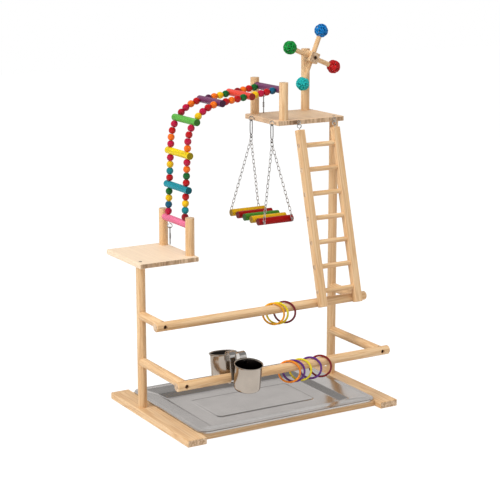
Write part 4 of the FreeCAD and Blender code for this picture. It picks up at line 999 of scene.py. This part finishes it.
def chain(shape, start, end):
    """Oval welded links from the ring of a hook down to an eye, turned a quarter each."""
    way = (end - start).normalized()
    first = start - way * (HOOK_WIRE + WIRE_PLAY / 2)
    last = end + way * (TIE_WIRE + WIRE_PLAY / 2)
    pitch = (last - first).length / CHAIN_LINKS
    half = (pitch + 2 * LINK_WIRE + WIRE_PLAY) / 2
    wide = LINK_WIDE / 2 - LINK_WIRE
    flat = way.cross(AXES["y"]).normalized()
    for number in range(CHAIN_LINKS):
        centre = first + way * (pitch * (number + 0.5))
        across = flat if number % 2 == 0 else way.cross(flat).normalized()
        points = bow(centre + way * (half - wide), wide, 0, 180, 4, across, way)
        points += bow(centre - way * (half - wide), wide, 180, 360, 4, across, way)
        add_wire(shape, points, LINK_WIRE, closed=True, fine=2)


chain_shape = bmesh.new()
for (side, end), eye in tie_eyes.items():
    aside = AXES["y"] * (side * (LINK_WIRE + WIRE_PLAY / 2))
    chain(chain_shape, hook_ends[end] + aside, eye)
new_piece("swing_link_chains", chain_shape, SWING_FINISH, "swing",
          ["swing_chains"])
for index, (colour, dye) in enumerate(SWING_DYES.items()):
    refinish(f"swing_{colour}_dowels", dyed_wood(f"swing_{colour}_dye", dye, "x", 30.0 + index))


# ---------------------------------------------------------------------------
# Ladder: two square pine rails with chamfered edges and seven round rungs
# glued through them. It hangs from two eyes and leans on the upper perch.
rung_low, rung_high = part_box("ladder_rungs")
ladder_pivot = Vector((0.0, platform_low.y - EYE_REACH, eye_height - EYE_RADIUS + PIVOT_GAP))
rung_middle = (rung_low + rung_high) / 2
ladder_lean = math.atan2(ladder_pivot.y - rung_middle.y, ladder_pivot.z - rung_middle.z)
refinish("ladder_rails", pine("ladder_rail_pine", "z", 14.0, tilt=ladder_lean))
refinish("ladder_rungs", pine("ladder_rung_pine", "x", 15.0))

ladder_down = Vector((0.0, -math.sin(ladder_lean), -math.cos(ladder_lean)))
ladder_eye_shape = bmesh.new()
for x in ladder_xs:
    foot = Vector((x, ladder_pivot.y, ladder_pivot.z)) + ladder_down * (EYE_RADIUS + EYE_REACH)
    screw_eye(ladder_eye_shape, foot, -ladder_down, AXES["x"])
new_piece("bent_ladder_eyes", ladder_eye_shape, EYE_FINISH, "ladder",
          ["ladder_eyes"])


# ---------------------------------------------------------------------------
# Windmill: a pine block that turns on a screw, with four short dowels glued
# in, each carrying a ball woven from dyed rattan strips.
BALL_RADIUS = 0.0145
STRAND = 0.00125
STRANDS = 17
SPOKE_RADIUS = 0.005
SPOKE_LONG = 0.042
SPOKE_START = 0.006                     # from the middle of the hub
MILL_TURN = math.radians(22.5)
PIN_PROUD = 0.0027                      # of the hub's front face
SPACER_RADIUS = 0.0040
SPACER_LONG = 0.0043
SPACER_PLAY = 0.0003
BALL_DYES = {"blue": (0.004, 0.200, 0.560), "red": (0.600, 0.012, 0.014),
             "teal": (0.015, 0.500, 0.490), "green": (0.004, 0.290, 0.045)}
refinish("windmill_hub", pine("windmill_hub_pine", "y", 16.0))


def rattan(name, colour):
    """Dyed vine with painted shade: dark in the hollows of its bump, and lighter where the strip is
    high.
    """
    pale = tuple(min(part * 1.5 + 0.05, 1.0) for part in colour)
    # the darkest stop is painted shade, laid in the hollows of the bump
    return mottled(name, [(0.30, darker(colour, 0.30)), (0.55, colour), (0.78, pale)],
                   320.0, 4.0, 0.0002, roughness=0.45, coat=0.05, sheen=0.15)


def woven_ball(name, colour):
    """Strips wound round and round in every direction, over and under each other."""
    centre = middle(name)
    chance = random.Random(name)
    shape = bmesh.new()
    for strand in range(STRANDS):
        rise = 1 - 2 * (strand + 0.5) / STRANDS
        angle = strand * math.pi * (3 - math.sqrt(5))
        flat = math.sqrt(1 - rise * rise)
        pole = Vector((flat * math.cos(angle), flat * math.sin(angle), rise)).normalized()
        across = pole.orthogonal().normalized()
        up = pole.cross(across)
        waves = chance.choice((3, 4, 5))
        start = chance.uniform(0, 2 * math.pi)
        points = []
        for step in range(30):
            turned = 2 * math.pi * step / 30
            reach = BALL_RADIUS - STRAND - 0.0011 * (1 + math.sin(waves * turned + start)) / 2
            drift = 0.0016 * math.sin(2 * turned + start)
            spot = across * math.cos(turned) + up * math.sin(turned)
            points.append(centre + (spot * reach + pole * drift).normalized() * reach)
        add_wire(shape, points, STRAND, closed=True, fine=1)
    new_piece(f"{name}_weave", shape, rattan(f"{name}_rattan", colour), "windmill",
              [name])


for colour, dye in BALL_DYES.items():
    woven_ball(f"windmill_{colour}_ball", dye)

mill_centre = middle("windmill_hub")
for pair, first in (("upright", 0), ("level", 1)):
    spoke_shape = bmesh.new()
    for quarter in (first, first + 2):
        angle = MILL_TURN + quarter * math.pi / 2
        way = Vector((math.sin(angle), 0.0, math.cos(angle)))
        spoke_end = SPOKE_START + SPOKE_LONG
        turn(spoke_shape, [(0.0, SPOKE_START), (SPOKE_RADIUS, SPOKE_START), (SPOKE_RADIUS, 0.020),
                           (SPOKE_RADIUS, spoke_end), (0.0, spoke_end)],
             28, facing(mill_centre, way))
    new_piece(f"{pair}_spokes", spoke_shape, pine(f"{pair}_spoke_pine", "z" if pair == "upright"
                                                  else "x", 17.0 + first),
              "windmill", ["windmill_spokes"])

hub_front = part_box("windmill_hub")[0].y
pin_shape = bmesh.new()
screw_head(pin_shape, facing(Vector((mill_centre.x, hub_front - PIN_PROUD, mill_centre.z)),
                             (0, -1, 0)))
hub_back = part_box("windmill_hub")[1].y
turn(pin_shape, [(SHANK_RADIUS, 0.0), (SPACER_RADIUS, 0.0), (SPACER_RADIUS, SPACER_LONG),
                 (SHANK_RADIUS, SPACER_LONG)], 28,
     facing(Vector((mill_centre.x, hub_back + SPACER_PLAY, mill_centre.z)), (0, 1, 0)), closed=True)
new_piece("windmill_pin", pin_shape, SCREW_FINISH, "stand", ["frame_screws"])
